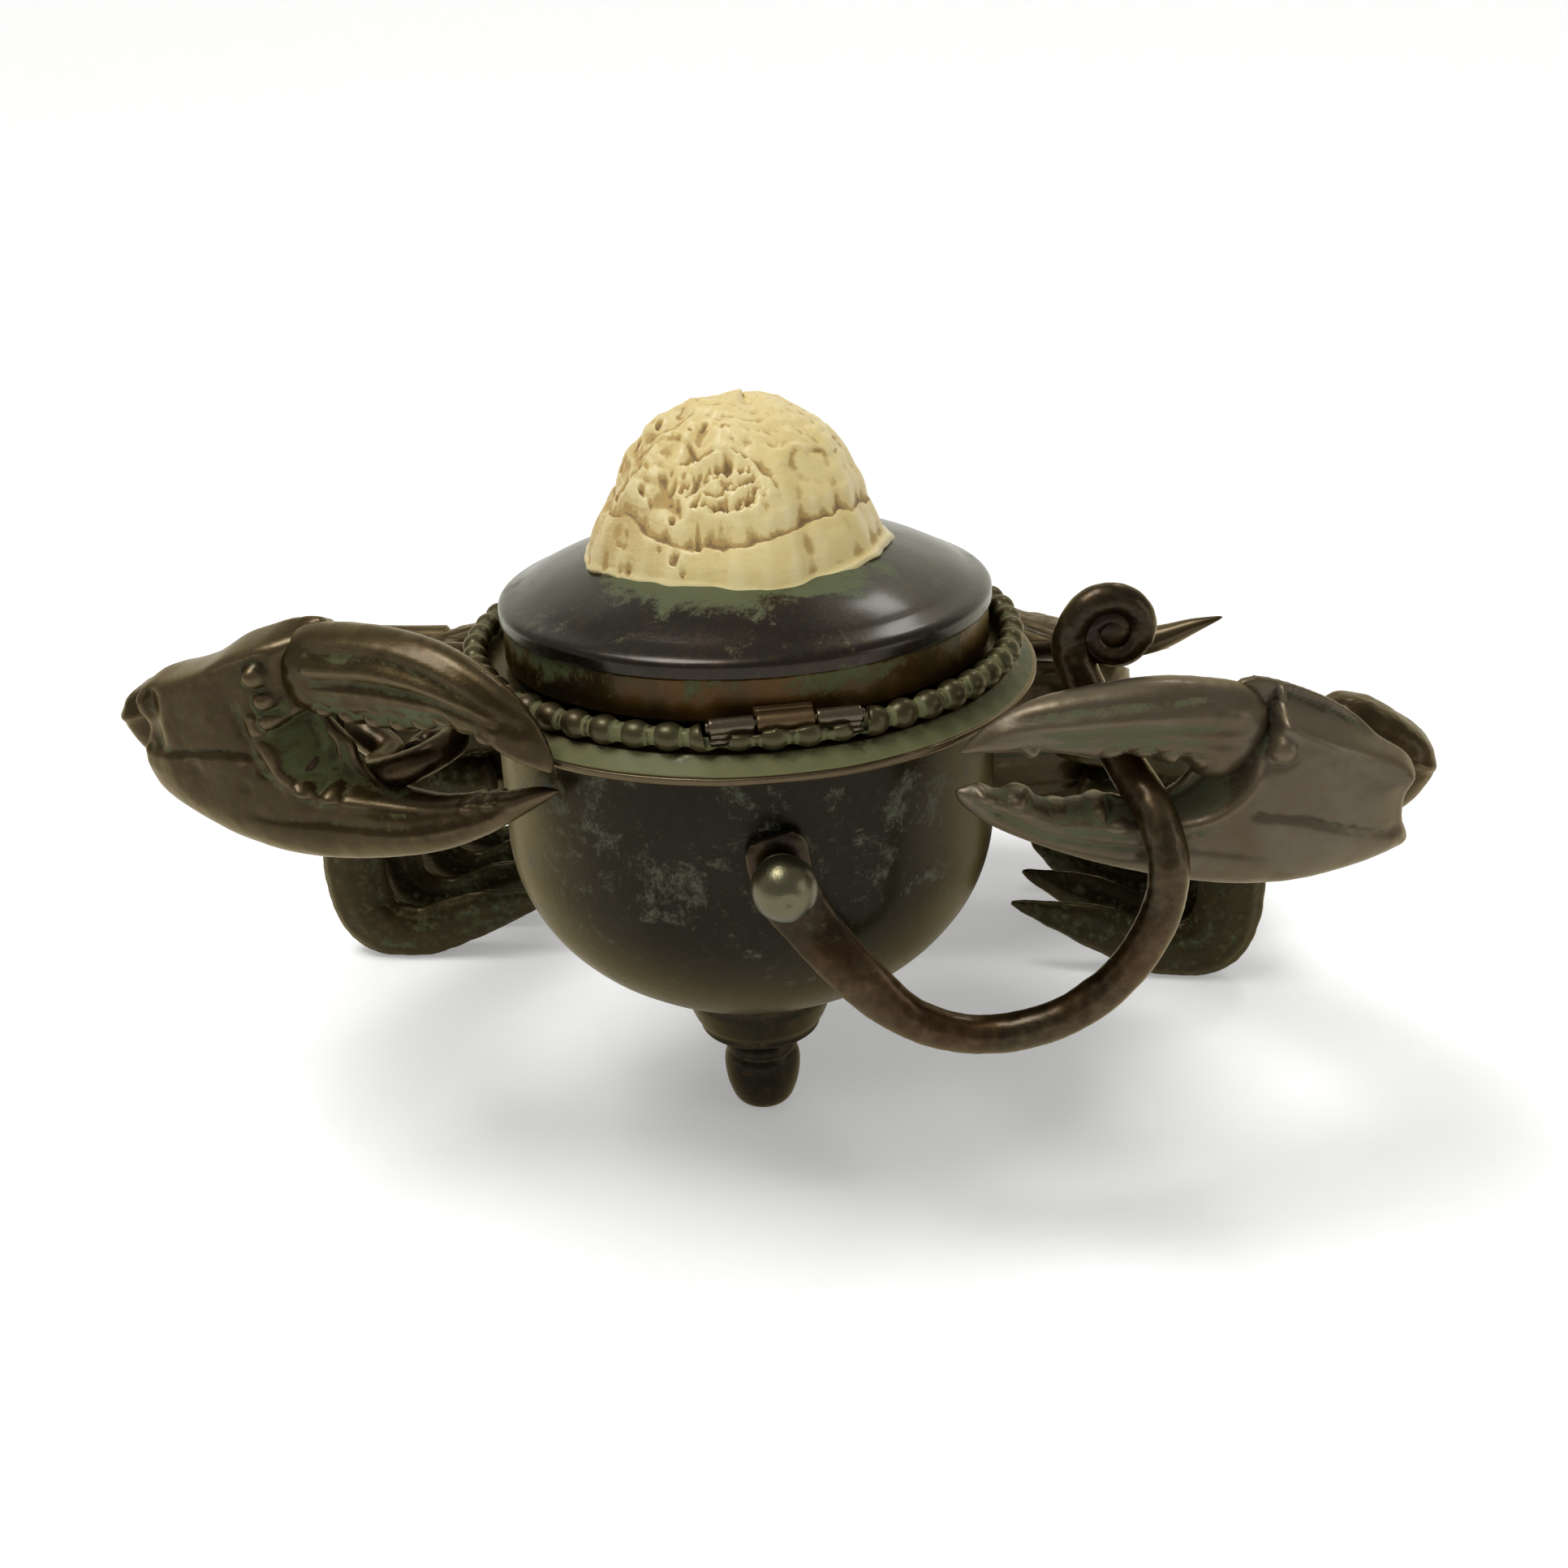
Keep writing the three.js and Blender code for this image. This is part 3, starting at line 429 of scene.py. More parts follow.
def dress(name, mesh, material, body, nodes, reach, aged=None):
    """Finishes a mesh as a piece; aged says where patina or stain gathers."""
    mesh.polygons.foreach_set("use_smooth", [True] * len(mesh.polygons))
    mesh.update()
    mark_relief(mesh, reach)
    if aged is not None:
        mark(mesh, "aged", aged)
    mesh.materials.append(material)
    made = bpy.data.objects.new(name, mesh)
    bpy.context.scene.collection.objects.link(made)
    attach(made, body)
    if nodes:
        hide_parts(*nodes)
    return made


def cast_slab(outline, half, voxel):
    """A slab of the outline's shape, remeshed into small even faces; local X and Z in the plane."""
    mesh = bpy.data.meshes.new("slab")
    edit = bmesh.new()
    ring = [edit.verts.new((x * MM, -half * MM, z * MM)) for x, z in outline]
    face = edit.faces.new(ring)
    pushed = bmesh.ops.extrude_face_region(edit, geom=[face])
    lifted = [v for v in pushed["geom"] if isinstance(v, bmesh.types.BMVert)]
    bmesh.ops.translate(edit, verts=lifted, vec=(0, 2 * half * MM, 0))
    bmesh.ops.recalc_face_normals(edit, faces=edit.faces)
    edit.to_mesh(mesh)
    edit.free()
    slab = bpy.data.objects.new("slab", mesh)
    bpy.context.scene.collection.objects.link(slab)
    remesh = slab.modifiers.new("remesh", "REMESH")
    remesh.mode = "VOXEL"
    remesh.voxel_size = voxel * MM
    even = bpy.data.meshes.new_from_object(slab.evaluated_get(bpy.context.evaluated_depsgraph_get()))
    bpy.data.objects.remove(slab)
    bpy.data.meshes.remove(mesh)
    return even


def paint(made, name, rule):
    """Gives another finish to the faces whose middles, in millimetres, pass the rule."""
    made.data.materials.append(finish(name))
    index = len(made.data.materials) - 1
    for face in made.data.polygons:
        if rule(np.array(face.center) / MM):
            face.material_index = index


# ------------------------------------------------------------------ finishes


class Value:
    """A socket that varies over a surface; arithmetic on it adds Math nodes."""

    def __init__(self, finish, socket):
        self.finish = finish
        self.socket = socket

    def _math(self, operation, *terms, clamp=False):
        settings = {"operation": operation, "use_clamp": clamp}
        return self.finish.node("ShaderNodeMath", settings, dict(enumerate(terms)))

    def __add__(self, other):
        return self._math("ADD", self, other)

    def __sub__(self, other):
        return self._math("SUBTRACT", self, other)

    def __rsub__(self, other):
        return self._math("SUBTRACT", other, self)

    def __mul__(self, other):
        return self._math("MULTIPLY", self, other)

    __radd__ = __add__
    __rmul__ = __mul__

    def clipped(self):
        return self._math("ADD", self, 0.0, clamp=True)

    def between(self, low, high):
        """0 below low, 1 above high, smooth in between."""
        settings = {"interpolation_type": "SMOOTHSTEP"}
        return self.finish.node(
            "ShaderNodeMapRange", settings, {"Value": self, "From Min": low, "From Max": high}
        )


class Finish:
    """A material whose pattern is built from nodes, in the object's own coordinates."""

    def __init__(self, name):
        self.material = bpy.data.materials.new(name)
        self.material.use_nodes = True
        self.tree = self.material.node_tree
        self.tree.nodes.clear()
        self.place = self.node("ShaderNodeTexCoord", output="Object")

    def node(self, kind, settings=None, inputs=None, output=0):
        """A node with its settings, and the numbers, colours or links of its sockets."""
        made = self.tree.nodes.new(kind)
        for key, value in (settings or {}).items():
            setattr(made, key, value)
        for key, value in (inputs or {}).items():
            socket = made.inputs[key]
            if isinstance(value, Value):
                self.tree.links.new(value.socket, socket)
            elif socket.type == "RGBA":
                socket.default_value = (*value, 1.0)
            else:
                socket.default_value = value
        return Value(self, made.outputs[output]) if made.outputs else None

    def clouds(self, size, detail=4.0, roughness=0.6, distortion=0.0, stretch=(1, 1, 1)):
        """Noise between 0 and 1 with lumps `size` millimetres across."""
        place = self.place
        if stretch != (1, 1, 1):
            place = self.node("ShaderNodeMapping", {}, {"Vector": place, "Scale": stretch})
        inputs = {"Vector": place, "Scale": 1 / (size * MM), "Detail": detail}
        inputs.update({"Roughness": roughness, "Distortion": distortion})
        return self.node("ShaderNodeTexNoise", {}, inputs)

    def mark(self, name):
        """What mark() stored on the mesh under this name."""
        return self.node("ShaderNodeAttribute", {"attribute_name": name}, output="Fac")

    def mix(self, share, first, second):
        """A colour between two colours."""
        terms = {0: share, 6: first, 7: second}
        return self.node("ShaderNodeMix", {"data_type": "RGBA"}, terms, output=2)

    def surface(self, height=None, depth=0.1, **inputs):
        """Joins everything to the shader; height in 0..1 makes a bump `depth` millimetres deep."""
        if height is not None:
            bumps = {"Height": height, "Distance": depth * MM, "Strength": 1.0}
            inputs["Normal"] = self.node("ShaderNodeBump", {}, bumps)
        named = {key.replace("_", " "): value for key, value in inputs.items()}
        shader = self.node("ShaderNodeBsdfPrincipled", {}, named)
        self.node("ShaderNodeOutputMaterial", {}, {"Surface": shader})
        return self.material


# Painted shade: a near-black colour laid into the creases, where shadow falls.
PAINTED_CREASE_SHADE = (0.012, 0.010, 0.005)
YELLOW_SHEEN = (1.0, 0.84, 0.50)


def patinated(name, ground, second, patina, spread, shine=0.34, rubbed=0.6, hollow=0.25, warmth=0.3,
              edge="gold", coat=0.2, speckle=0.3, sheen=YELLOW_SHEEN):
    """Old bronze under wax: two ground tones, patina in patches, painted shade in the creases and rubbed
    edges.

    spread is how much of the open surface the patina covers, hollow how readily it fills hollows.
    A colour may be given as the name of one of the inkwell's colours.
    """
    c = colours()
    given = (ground, second, patina, edge)
    ground, second, patina, edge = (tuple(getattr(c, v)) if isinstance(v, str) else v for v in given)
    f = Finish(name)
    broad = f.clouds(19, 3, 0.55, 0.4)
    patches = f.clouds(9, 9, 0.72, 0.8)
    mottle = f.clouds(1.7, 5, 0.68)
    fine = f.clouds(0.4, 4, 0.65)
    worn = f.mark("worn")
    sunk = f.mark("sunk")
    aged = f.mark("aged")
    tone = f.mix(broad.between(0.35, 0.65), ground, second)
    tone = f.mix((mottle.between(0.45, 0.75) * warmth).clipped(), tone, tuple(c.warm))
    tone = f.mix((fine.between(0.5, 0.8) * mottle.between(0.4, 0.7) * speckle).clipped(), tone, patina)
    reach = patches * 0.60 + mottle * 0.26 + fine * 0.14 + sunk * hollow - worn * 0.30 + aged * 0.22
    cover = reach.between(0.62 - 0.30 * spread, 0.72 - 0.27 * spread)
    green = f.mix((mottle.between(0.45, 0.75) * 0.55).clipped(), patina, tuple(c.verdigris))
    skin_colour = f.mix((cover * 0.9).clipped(), tone, green)
    # Painted shade: the deeper a crease lies, the nearer its colour comes to near-black.
    skin_colour = f.mix((sunk.between(0.35, 1.0) * 0.75).clipped(), skin_colour, PAINTED_CREASE_SHADE)
    rub = (worn.between(0.30, 0.95) * (0.45 + fine * 0.7) * rubbed).clipped()
    skin_colour = f.mix(rub, skin_colour, edge)
    rough = (shine + cover * 0.34 + fine * 0.12 + broad * 0.06 + mottle * 0.06).clipped()
    metal = (0.80 - cover * 0.70).clipped()
    wax = (coat - cover * coat * 0.75).clipped()
    height = mottle * 0.42 + fine * 0.33 + patches * 0.25 + cover * 0.2
    return f.surface(
        height, 0.09, Base_Color=skin_colour, Roughness=rough, Metallic=metal, Coat_Weight=wax,
        Coat_Roughness=0.16, Coat_IOR=1.5, Specular_Tint=sheen,
    )


def brass_finish():
    """Dulled brass for the small fittings."""
    c = colours()
    f = Finish("dulled brass")
    mottle = f.clouds(1.4, 5, 0.6)
    fine = f.clouds(0.35, 3, 0.6)
    sunk = f.mark("sunk")
    worn = f.mark("worn")
    cover = (mottle * 0.8 + sunk * 0.8 + fine * 0.2).between(0.62, 0.85)
    tone = f.mix(cover, tuple(c.brass), tuple(c.green))
    tone = f.mix((worn.between(0.2, 0.9) * 0.5).clipped(), tone, tuple(c.gold))
    rough = (0.24 + cover * 0.25 + fine * 0.12).clipped()
    return f.surface(
        mottle * 0.5 + fine * 0.5, 0.06, Base_Color=tone, Roughness=rough,
        Metallic=(0.95 - cover * 0.5).clipped(),
    )


def shell_finish():
    """Oyster shell: chalky cream with tan stains between the layers and a pearly, paler face."""
    c = colours()
    f = Finish("oyster shell")
    broad = f.clouds(11, 4, 0.55, 0.6)
    streak = f.clouds(2.6, 6, 0.65, 1.2, stretch=(0.5, 0.5, 1.8))
    fine = f.clouds(0.5, 4, 0.6)
    sunk = f.mark("sunk")
    worn = f.mark("worn")
    pale = f.mix(broad.between(0.4, 0.62), tuple(c.cream), (0.78, 0.64, 0.30))
    lines = f.clouds(1.5, 4, 0.6, 0.5, stretch=(0.25, 0.25, 1.6))
    aged = f.mark("aged")
    stain = (sunk + streak * 0.55 + fine * 0.18 + lines * 0.15 + aged * 0.3).between(0.42, 0.92)
    tone = f.mix((stain * 0.85).clipped(), pale, tuple(c.tan))
    deep = (sunk + streak * 0.35 + fine * 0.1).between(0.80, 1.25)
    tone = f.mix((deep * 0.7).clipped(), tone, (0.15, 0.085, 0.035))
    tone = f.mix((worn.between(0.3, 0.95) * 0.5).clipped(), tone, (0.84, 0.73, 0.40))
    height = streak * 0.35 + fine * 0.25 + lines * 0.4
    rough = (0.34 + stain * 0.30 - worn * 0.06 + fine * 0.12).clipped()
    return f.surface(
        height, 0.14, Base_Color=tone, Roughness=rough, Metallic=0.0,
        Specular_IOR_Level=0.5, Subsurface_Weight=0.08, Subsurface_Scale=0.001,
    )


def pitch_finish():
    """Dark bedding under the shell."""
    f = Finish("bedding pitch")
    lumps = f.clouds(1.2, 5, 0.7)
    tone = f.mix(lumps.between(0.4, 0.7), (0.055, 0.045, 0.035), (0.12, 0.11, 0.08))
    return f.surface(lumps, 0.2, Base_Color=tone, Roughness=(0.75 + lumps * 0.2).clipped(), Metallic=0.0)


def glass_finish():
    """Pressed glass with faint ink stains low down."""
    c = colours()
    f = Finish("liner glass")
    waves = f.clouds(6, 2, 0.5)
    stains = f.clouds(4, 5, 0.6)
    rough = (0.05 + stains.between(0.5, 0.75) * 0.25).clipped()
    return f.surface(
        waves, 0.05, Base_Color=tuple(c.glass), Roughness=rough, Metallic=0.0,
        Transmission_Weight=1.0, IOR=1.5,
    )


def floor_finish():
    """Pale, matt floor with the faintest tooth."""
    c = colours()
    f = Finish("pale floor")
    tooth = f.clouds(3, 3, 0.5)
    tone = f.mix(tooth.between(0.3, 0.7), tuple(c.floor), tuple(min(1, v * 1.03) for v in c.floor))
    return f.surface(
        tooth, 0.02, Base_Color=tone, Roughness=(0.7 + tooth * 0.1).clipped(), Metallic=0.0,
        Emission_Color=(1.0, 1.0, 1.0), Emission_Strength=0.27,
    )


BRONZES = {
    "bowl": {
        "ground": "bowl", "second": (0.010, 0.009, 0.006), "patina": (0.062, 0.066, 0.044), "spread": 0.46,
        "shine": 0.24, "rubbed": 0.1, "warmth": 0.03, "coat": 0.1, "speckle": 0.35,
    },
    "rim": {
        "ground": (0.060, 0.048, 0.022), "second": (0.09, 0.09, 0.04), "patina": "green", "spread": 0.98,
        "shine": 0.3, "rubbed": 0.62, "hollow": 0.3, "edge": (0.030, 0.018, 0.008),
    },
    "lip": {
        "ground": (0.075, 0.052, 0.026), "second": (0.095, 0.070, 0.038), "patina": "green", "spread": 0.2,
        "shine": 0.2, "rubbed": 0.6,
    },
    "lid": {
        "ground": "lid", "second": (0.019, 0.011, 0.006), "patina": (0.085, 0.098, 0.038), "spread": 0.24,
        "shine": 0.2, "rubbed": 0.2, "warmth": 0.18, "coat": 0.36, "speckle": 0.34,
        "sheen": (0.95, 0.94, 0.74),
    },
    "lid skirt": {
        "ground": (0.040, 0.026, 0.009), "second": (0.085, 0.038, 0.006), "patina": (0.062, 0.078, 0.026),
        "spread": 0.42, "shine": 0.28, "rubbed": 0.2, "warmth": 0.6, "speckle": 0.6,
    },
    "hook": {
        "ground": "hook", "second": (0.034, 0.014, 0.003), "patina": (0.032, 0.048, 0.020), "spread": 0.44,
        "shine": 0.22, "rubbed": 0.3, "warmth": 0.35, "coat": 0.2,
    },
    "foot": {
        "ground": "foot", "second": (0.009, 0.008, 0.004), "patina": (0.030, 0.034, 0.014), "spread": 0.22,
        "shine": 0.26, "rubbed": 0.12, "speckle": 0.15, "coat": 0.1,
    },
    "crab": {
        "ground": "crab", "second": (0.030, 0.017, 0.005), "patina": (0.052, 0.062, 0.020), "spread": 0.20,
        "shine": 0.25, "rubbed": 0.4, "hollow": 0.16, "warmth": 0.3, "coat": 0.2,
    },
    # Painted light: a lit copy of the crab bronze for the right claw, brighter because more light falls on
    # that side.
    "pale crab": {
        "ground": "claw", "second": (0.085, 0.062, 0.036), "patina": (0.080, 0.086, 0.045), "spread": 0.18,
        "shine": 0.33, "rubbed": 0.3, "hollow": 0.14, "warmth": 0.22, "coat": 0.2,
    },
    "leg": {
        "ground": "leg", "second": (0.024, 0.018, 0.006), "patina": (0.030, 0.038, 0.013), "spread": 0.50,
        "shine": 0.32, "rubbed": 0.2, "hollow": 0.3, "coat": 0.1,
    },
    "hinge": {
        "ground": (0.032, 0.028, 0.022), "second": (0.034, 0.022, 0.016), "patina": "green", "spread": 0.02,
        "shine": 0.16, "rubbed": 0.4, "coat": 0.6,
    },
    "hinge middle": {
        "ground": (0.060, 0.040, 0.016), "second": (0.08, 0.04, 0.013), "patina": (0.085, 0.090, 0.042),
        "spread": 0.35, "shine": 0.3, "rubbed": 0.4,
    },
}
OTHER_FINISHES = {
    "brass": brass_finish, "shell": shell_finish, "pitch": pitch_finish, "glass": glass_finish,
    "floor": floor_finish,
}
finishes = {}


def finish(name):
    """The named finish, made the first time it is asked for."""
    if name not in finishes:
        bronze = name in BRONZES
        finishes[name] = patinated(f"{name} bronze", **BRONZES[name]) if bronze else OTHER_FINISHES[name]()
    return finishes[name]


# ------------------------------------------------------------------ pot

BOWL_RADIUS, BOWL_DEPTH, BOWL_WALL = 36.9, 29.45, 1.8
BOWL_EQUATOR, BOWL_TOP = 52.9, 77.7
FLANGE_TOP, FLANGE_THICKNESS = 79.0, 1.0
FLANGE_RADIUS, FLANGE_FLAT, FLANGE_DIP, FLANGE_HOLE = 42.75, 40.1, 2.4, 30.6
BEAD_CIRCLE, BEAD_HEIGHT, BEAD_NECK = 39.0, 81.05, 1.35
HINGE_AZIMUTH, HINGE_CIRCLE, HINGE_HEIGHT, HINGE_LENGTH = 15.9, 38.05, 82.6, 20.0
LID_KNUCKLE, KNUCKLE_RADIUS = 7.6, 1.15
LINER_RADIUS, LINER_WALL, LINER_FLOOR, LINER_RIM = 29.3, 2.6, 32.5, 32.0


def bowl_curve(inset, steps=40):
    """The rounded bottom from the axis up to the upright wall, or a surface inside it."""
    angles = np.linspace(0, math.pi / 2, steps)
    radii = (BOWL_RADIUS - inset) * np.sin(angles)
    heights = BOWL_EQUATOR - (BOWL_DEPTH - inset) * np.cos(angles)
    radii[0] = 0.0
    return [list(pair) for pair in zip(radii, heights)]


def bowl_shape():
    """The bowl, an open shell with a rounded lip."""
    outside, inside = bowl_curve(0), bowl_curve(BOWL_WALL)[::-1]
    lip = soft_corners(
        [outside[-1], [BOWL_RADIUS, BOWL_TOP], [BOWL_RADIUS - BOWL_WALL, BOWL_TOP], inside[0]], 0.5
    )
    walls = [[BOWL_RADIUS, z] for z in np.linspace(BOWL_EQUATOR + 1, BOWL_TOP - 1, 16)]
    inner = [[BOWL_RADIUS - BOWL_WALL, z] for z in np.linspace(BOWL_TOP - 1, BOWL_EQUATOR + 1, 8)]
    points, faces = turned(outside + walls + lip[1:-1] + inner + inside[1:], 160)
    # Spun and hammered by hand: the wall wanders by a tenth of a millimetre.
    wander = 0.10 * grain(points, 16, 2)
    radial = points.copy()
    radial[:, 2] -= BOWL_EQUATOR
    radial /= np.maximum(np.linalg.norm(radial, axis=1), 1e-6)[:, None]
    return points + radial * (wander - 0.1)[:, None], faces


def flange_shape():
    """The rim: flat under the beads, then dished down to a turned-up lip."""
    under, edge = FLANGE_TOP - FLANGE_THICKNESS, FLANGE_TOP - FLANGE_DIP
    profile = soft_corners([
        [FLANGE_HOLE, under], [FLANGE_FLAT - 0.4, under], [FLANGE_RADIUS - 0.5, edge - FLANGE_THICKNESS],
        [FLANGE_RADIUS, edge - 0.55], [FLANGE_RADIUS, edge + 0.15], [FLANGE_RADIUS - 0.35, edge + 0.25],
        [FLANGE_RADIUS - 0.8, edge + 0.35], [FLANGE_FLAT - 0.4, FLANGE_TOP], [FLANGE_HOLE, FLANGE_TOP],
    ], 0.22, closed=True)
    points, faces = turned(profile, 240, closed=True)
    points[:, 2] += 0.10 * grain(points, 9, 3)
    return points, faces


def bead_ring_shape():
    """Beads on a wire, each with a crease beside it, planed down under the hinge."""
    s = sizes()
    count, radius = s.bead_count, s.bead_radius / MM
    steps, sides = 18, 22
    pitch = TURN * BEAD_CIRCLE / count
    rows = count * steps
    points = np.empty((rows, sides, 3))
    for i in range(rows):
        bead, step = divmod(i, steps)
        offset = (step / steps - 0.5) * pitch
        vary = 1 + 0.05 * math.sin(12.9898 * bead) + 0.03 * math.sin(4.1 * bead)
        size = max(radius * vary * math.sqrt(max(0.0, 1 - (offset / (0.52 * pitch)) ** 2)), 0.0)
        size = max(size, BEAD_NECK * (0.94 + 0.06 * math.cos(7.3 * bead)))
        around = i * TURN / rows
        for j in range(sides):
            angle = j * TURN / sides
            reach = BEAD_CIRCLE + size * math.cos(angle)
            height = BEAD_HEIGHT + size * math.sin(angle)
            points[i, j] = (reach * math.cos(around), reach * math.sin(around), height)
    flat = points.reshape(-1, 3)
    local = moved(flat, np.linalg.inv(facing(HINGE_AZIMUTH)))
    under = (abs(local[:, 0]) < HINGE_LENGTH / 2 + 0.9) & (local[:, 1] > 0)
    inner = local[:, 1] < HINGE_CIRCLE + 1.7
    flat[:, 2] = np.where(under & inner, np.minimum(flat[:, 2], BEAD_HEIGHT - 0.7), flat[:, 2])
    flat[:, 2] = np.maximum(flat[:, 2], FLANGE_TOP + 0.1)
    return flat, quads(rows, sides, joined=True)


def liner_shape():
    """The glass that holds the ink: a deep cup that hangs from its rim in the flange."""
    rim, bend = FLANGE_TOP + 0.3, LINER_FLOOR + 17
    inner = LINER_RADIUS - LINER_WALL
    return turned(soft_corners([
        [0, LINER_FLOOR], [13, LINER_FLOOR], [21.5, LINER_FLOOR + 3], [27, LINER_FLOOR + 9],
        [LINER_RADIUS, bend], [LINER_RADIUS, rim], [LINER_RIM, rim], [LINER_RIM, rim + 2],
        [inner, rim + 2], [inner, bend], [24, LINER_FLOOR + 10.5], [19, LINER_FLOOR + 5.5],
        [12, LINER_FLOOR + LINER_WALL], [0, LINER_FLOOR + LINER_WALL],
    ], 1.0, steps=5), 128)


# ------------------------------------------------------------------ foot

COLLAR_BOTTOM, STEM_RADIUS, STEM_TOP = 13.1, 1.6, 29.3


def collar_shape():
    """The flared collar that joins the bowl to the drop."""
    foot, top = COLLAR_BOTTOM, []
    for radius in np.linspace(1.9, 12.4, 16):
        drop = BOWL_DEPTH * math.sqrt(1 - (radius / BOWL_RADIUS) ** 2)
        top.append([radius, BOWL_EQUATOR - drop - 0.15])
    side = soft_corners([
        top[-1], [12.0, foot + 8.5], [10.4, foot + 4.4], [9.4, foot + 3.0], [9.6, foot + 2.3],
        [8.6, foot + 1.7], [6.4, foot + 0.9], [5.7, foot], [1.9, foot],
    ], 0.5)
    return turned(top + side[1:], 96, closed=True)


def drop_shape():
    """A waisted ball with a small flat under it, on a stem that runs up through the bowl."""
    knots = [[2.2, 0.0], [4.3, 1.25], [5.5, 3.9], [6.05, 7.2], [5.95, 9.2], [5.35, 10.6]]
    body = [list(p) for p in smooth_line(np.array(knots), 36)]
    neck = soft_corners([[5.35, 10.6], [5.85, 11.2], [5.75, 12.0], [5.3, 12.8], [STEM_RADIUS, 12.8]], 0.3)
    return turned([[0, 0]] + body + neck[1:] + [[STEM_RADIUS, STEM_TOP], [0, STEM_TOP]], 96)


# ------------------------------------------------------------------ lid

SKIRT_RADIUS, SHOULDER_RADIUS, LID_WALL, LID_TILT = 36.2, 36.5, 1.5, 2.0
SKIRT_BOTTOM = FLANGE_TOP + 0.3
SHOULDER = SKIRT_BOTTOM + 7.2
SEAT_HEIGHT, SEAT_RISE = SKIRT_BOTTOM + 6.4, 12.2
LID_EASE, LID_SHIFT = 0.978, 0.6
SHELL_REACH, SHELL_EDGE = 21.6, 1.6
# Places on the shell are shares of the way from its middle to its edge, and degrees round it.
LEDGE, RIM_START, RIM_WIDTH = 0.88, 0.90, 0.105
PATCH_ANGLE, PATCH_HALF_ANGLE, PATCH_SHARE, PATCH_HALF_SHARE = 268, 21, 0.76, 0.13


def dome_at(radius):
    """The lid's dome: nearly straight under the shell, rolling over steeply to the shoulder."""
    share = np.minimum(np.asarray(radius, float) / SHOULDER_RADIUS, 1)
    middle = 1.0 - smoothstep(share, 0.2, 0.45)
    return SHOULDER + 11.0 * (1 - share) + 2.6 * (1 - share**8) - 2.6 * middle


def seat_at(radius):
    """The surface that the shell sits on."""
    share = np.minimum(np.asarray(radius, float) / SHOULDER_RADIUS, 1)
    return SEAT_HEIGHT + SEAT_RISE * (1 - share**1.82)


def lid_place():
    """The lid leans back about its own rear edge, so its front stands proud at the hinge."""
    turn = facing(HINGE_AZIMUTH)
    lean = shifted(0, -SKIRT_RADIUS, SKIRT_BOTTOM) @ spun("X", LID_TILT)
    return turn @ lean @ shifted(0, SKIRT_RADIUS, -SKIRT_BOTTOM) @ np.linalg.inv(turn)


def cover_place():
    """The lid itself sits a little to the right and is slightly narrower than its seat."""
    return lid_place() @ shifted(LID_SHIFT) @ np.diag([LID_EASE, LID_EASE, 1.0, 1.0])


def lid_shape():
    """The lid as one thin shell: dome, rolled shoulder and skirt."""
    inside = [[r, dome_at(r) - LID_WALL] for r in np.linspace(0, SKIRT_RADIUS - LID_WALL, 24)]
    skirt = soft_corners([
        inside[-1], [SKIRT_RADIUS - LID_WALL, SKIRT_BOTTOM], [SKIRT_RADIUS - 0.1, SKIRT_BOTTOM],
        [SKIRT_RADIUS - 0.25, SHOULDER - 2.2], [SKIRT_RADIUS - 0.25, SHOULDER - 1.6],
        [SHOULDER_RADIUS, SHOULDER - 1.4], [SHOULDER_RADIUS, SHOULDER - 1.0],
    ], 0.25, steps=5)
    on_dome = [[r, dome_at(r)] for r in (SHOULDER_RADIUS - 3.0, SHOULDER_RADIUS - 4.2)]
    upright = [[SHOULDER_RADIUS, SHOULDER - 1.0], [SHOULDER_RADIUS, SHOULDER + 0.9]]
    bend = soft_corners(upright + on_dome, 1.7, steps=9)
    outside = bend[1:] + [[r, dome_at(r)] for r in np.linspace(SHOULDER_RADIUS - 4.6, 0, 44)]
    points, faces = turned(inside[:-1] + skirt + outside, 200)
    points[:, 2] += 0.09 * grain(points, 13, 2) * smoothstep(points[:, 2], SHOULDER, SHOULDER + 2)
    return moved(points, cover_place()), faces


def lid_patina(points):
    """Patina gathers round the front of the shell and on the skirt."""
    flat = moved(points, np.linalg.inv(cover_place()))
    radius = np.hypot(flat[:, 0], flat[:, 1])
    azimuth = np.degrees(np.arctan2(flat[:, 0], -flat[:, 1]))
    ahead = 1 - smoothstep(np.abs(azimuth - 8), 35, 75)
    near = bump(radius - 22.5, 5.0) * ahead
    low = 0.22 * (1 - smoothstep(flat[:, 2], SHOULDER - 2.1, SHOULDER - 1.1))
    return np.clip(0.95 * near + low + 0.30 * bump(radius - 34, 3) * (azimuth < -40), 0, 1)


def lid_ring_shape():
    """The ring soldered inside the skirt."""
    outer = SKIRT_RADIUS - LID_WALL - 0.3
    profile = soft_corners([
        [outer - 1.3, SKIRT_BOTTOM], [outer, SKIRT_BOTTOM], [outer, SKIRT_BOTTOM + 4.4],
        [outer - 1.3, SKIRT_BOTTOM + 4.4],
    ], 0.4, closed=True)
    points, faces = turned(profile, 128, closed=True)
    return moved(points, cover_place()), faces


def shell_edge(angle):
    """How far the shell reaches at an angle: broad, with lobes and a finely broken edge."""
    lobes = 0.9 * np.cos(2 * angle + 0.6) + 0.6 * np.cos(5 * angle) + 0.3 * np.sin(9 * angle)
    broken = 0.14 * np.sin(17 * angle + 1.3) + 0.10 * np.sin(29 * angle)
    return SHELL_REACH + lobes + broken - 1.3 * np.sin(angle) - 0.7 * np.maximum(np.cos(angle), 0) ** 4


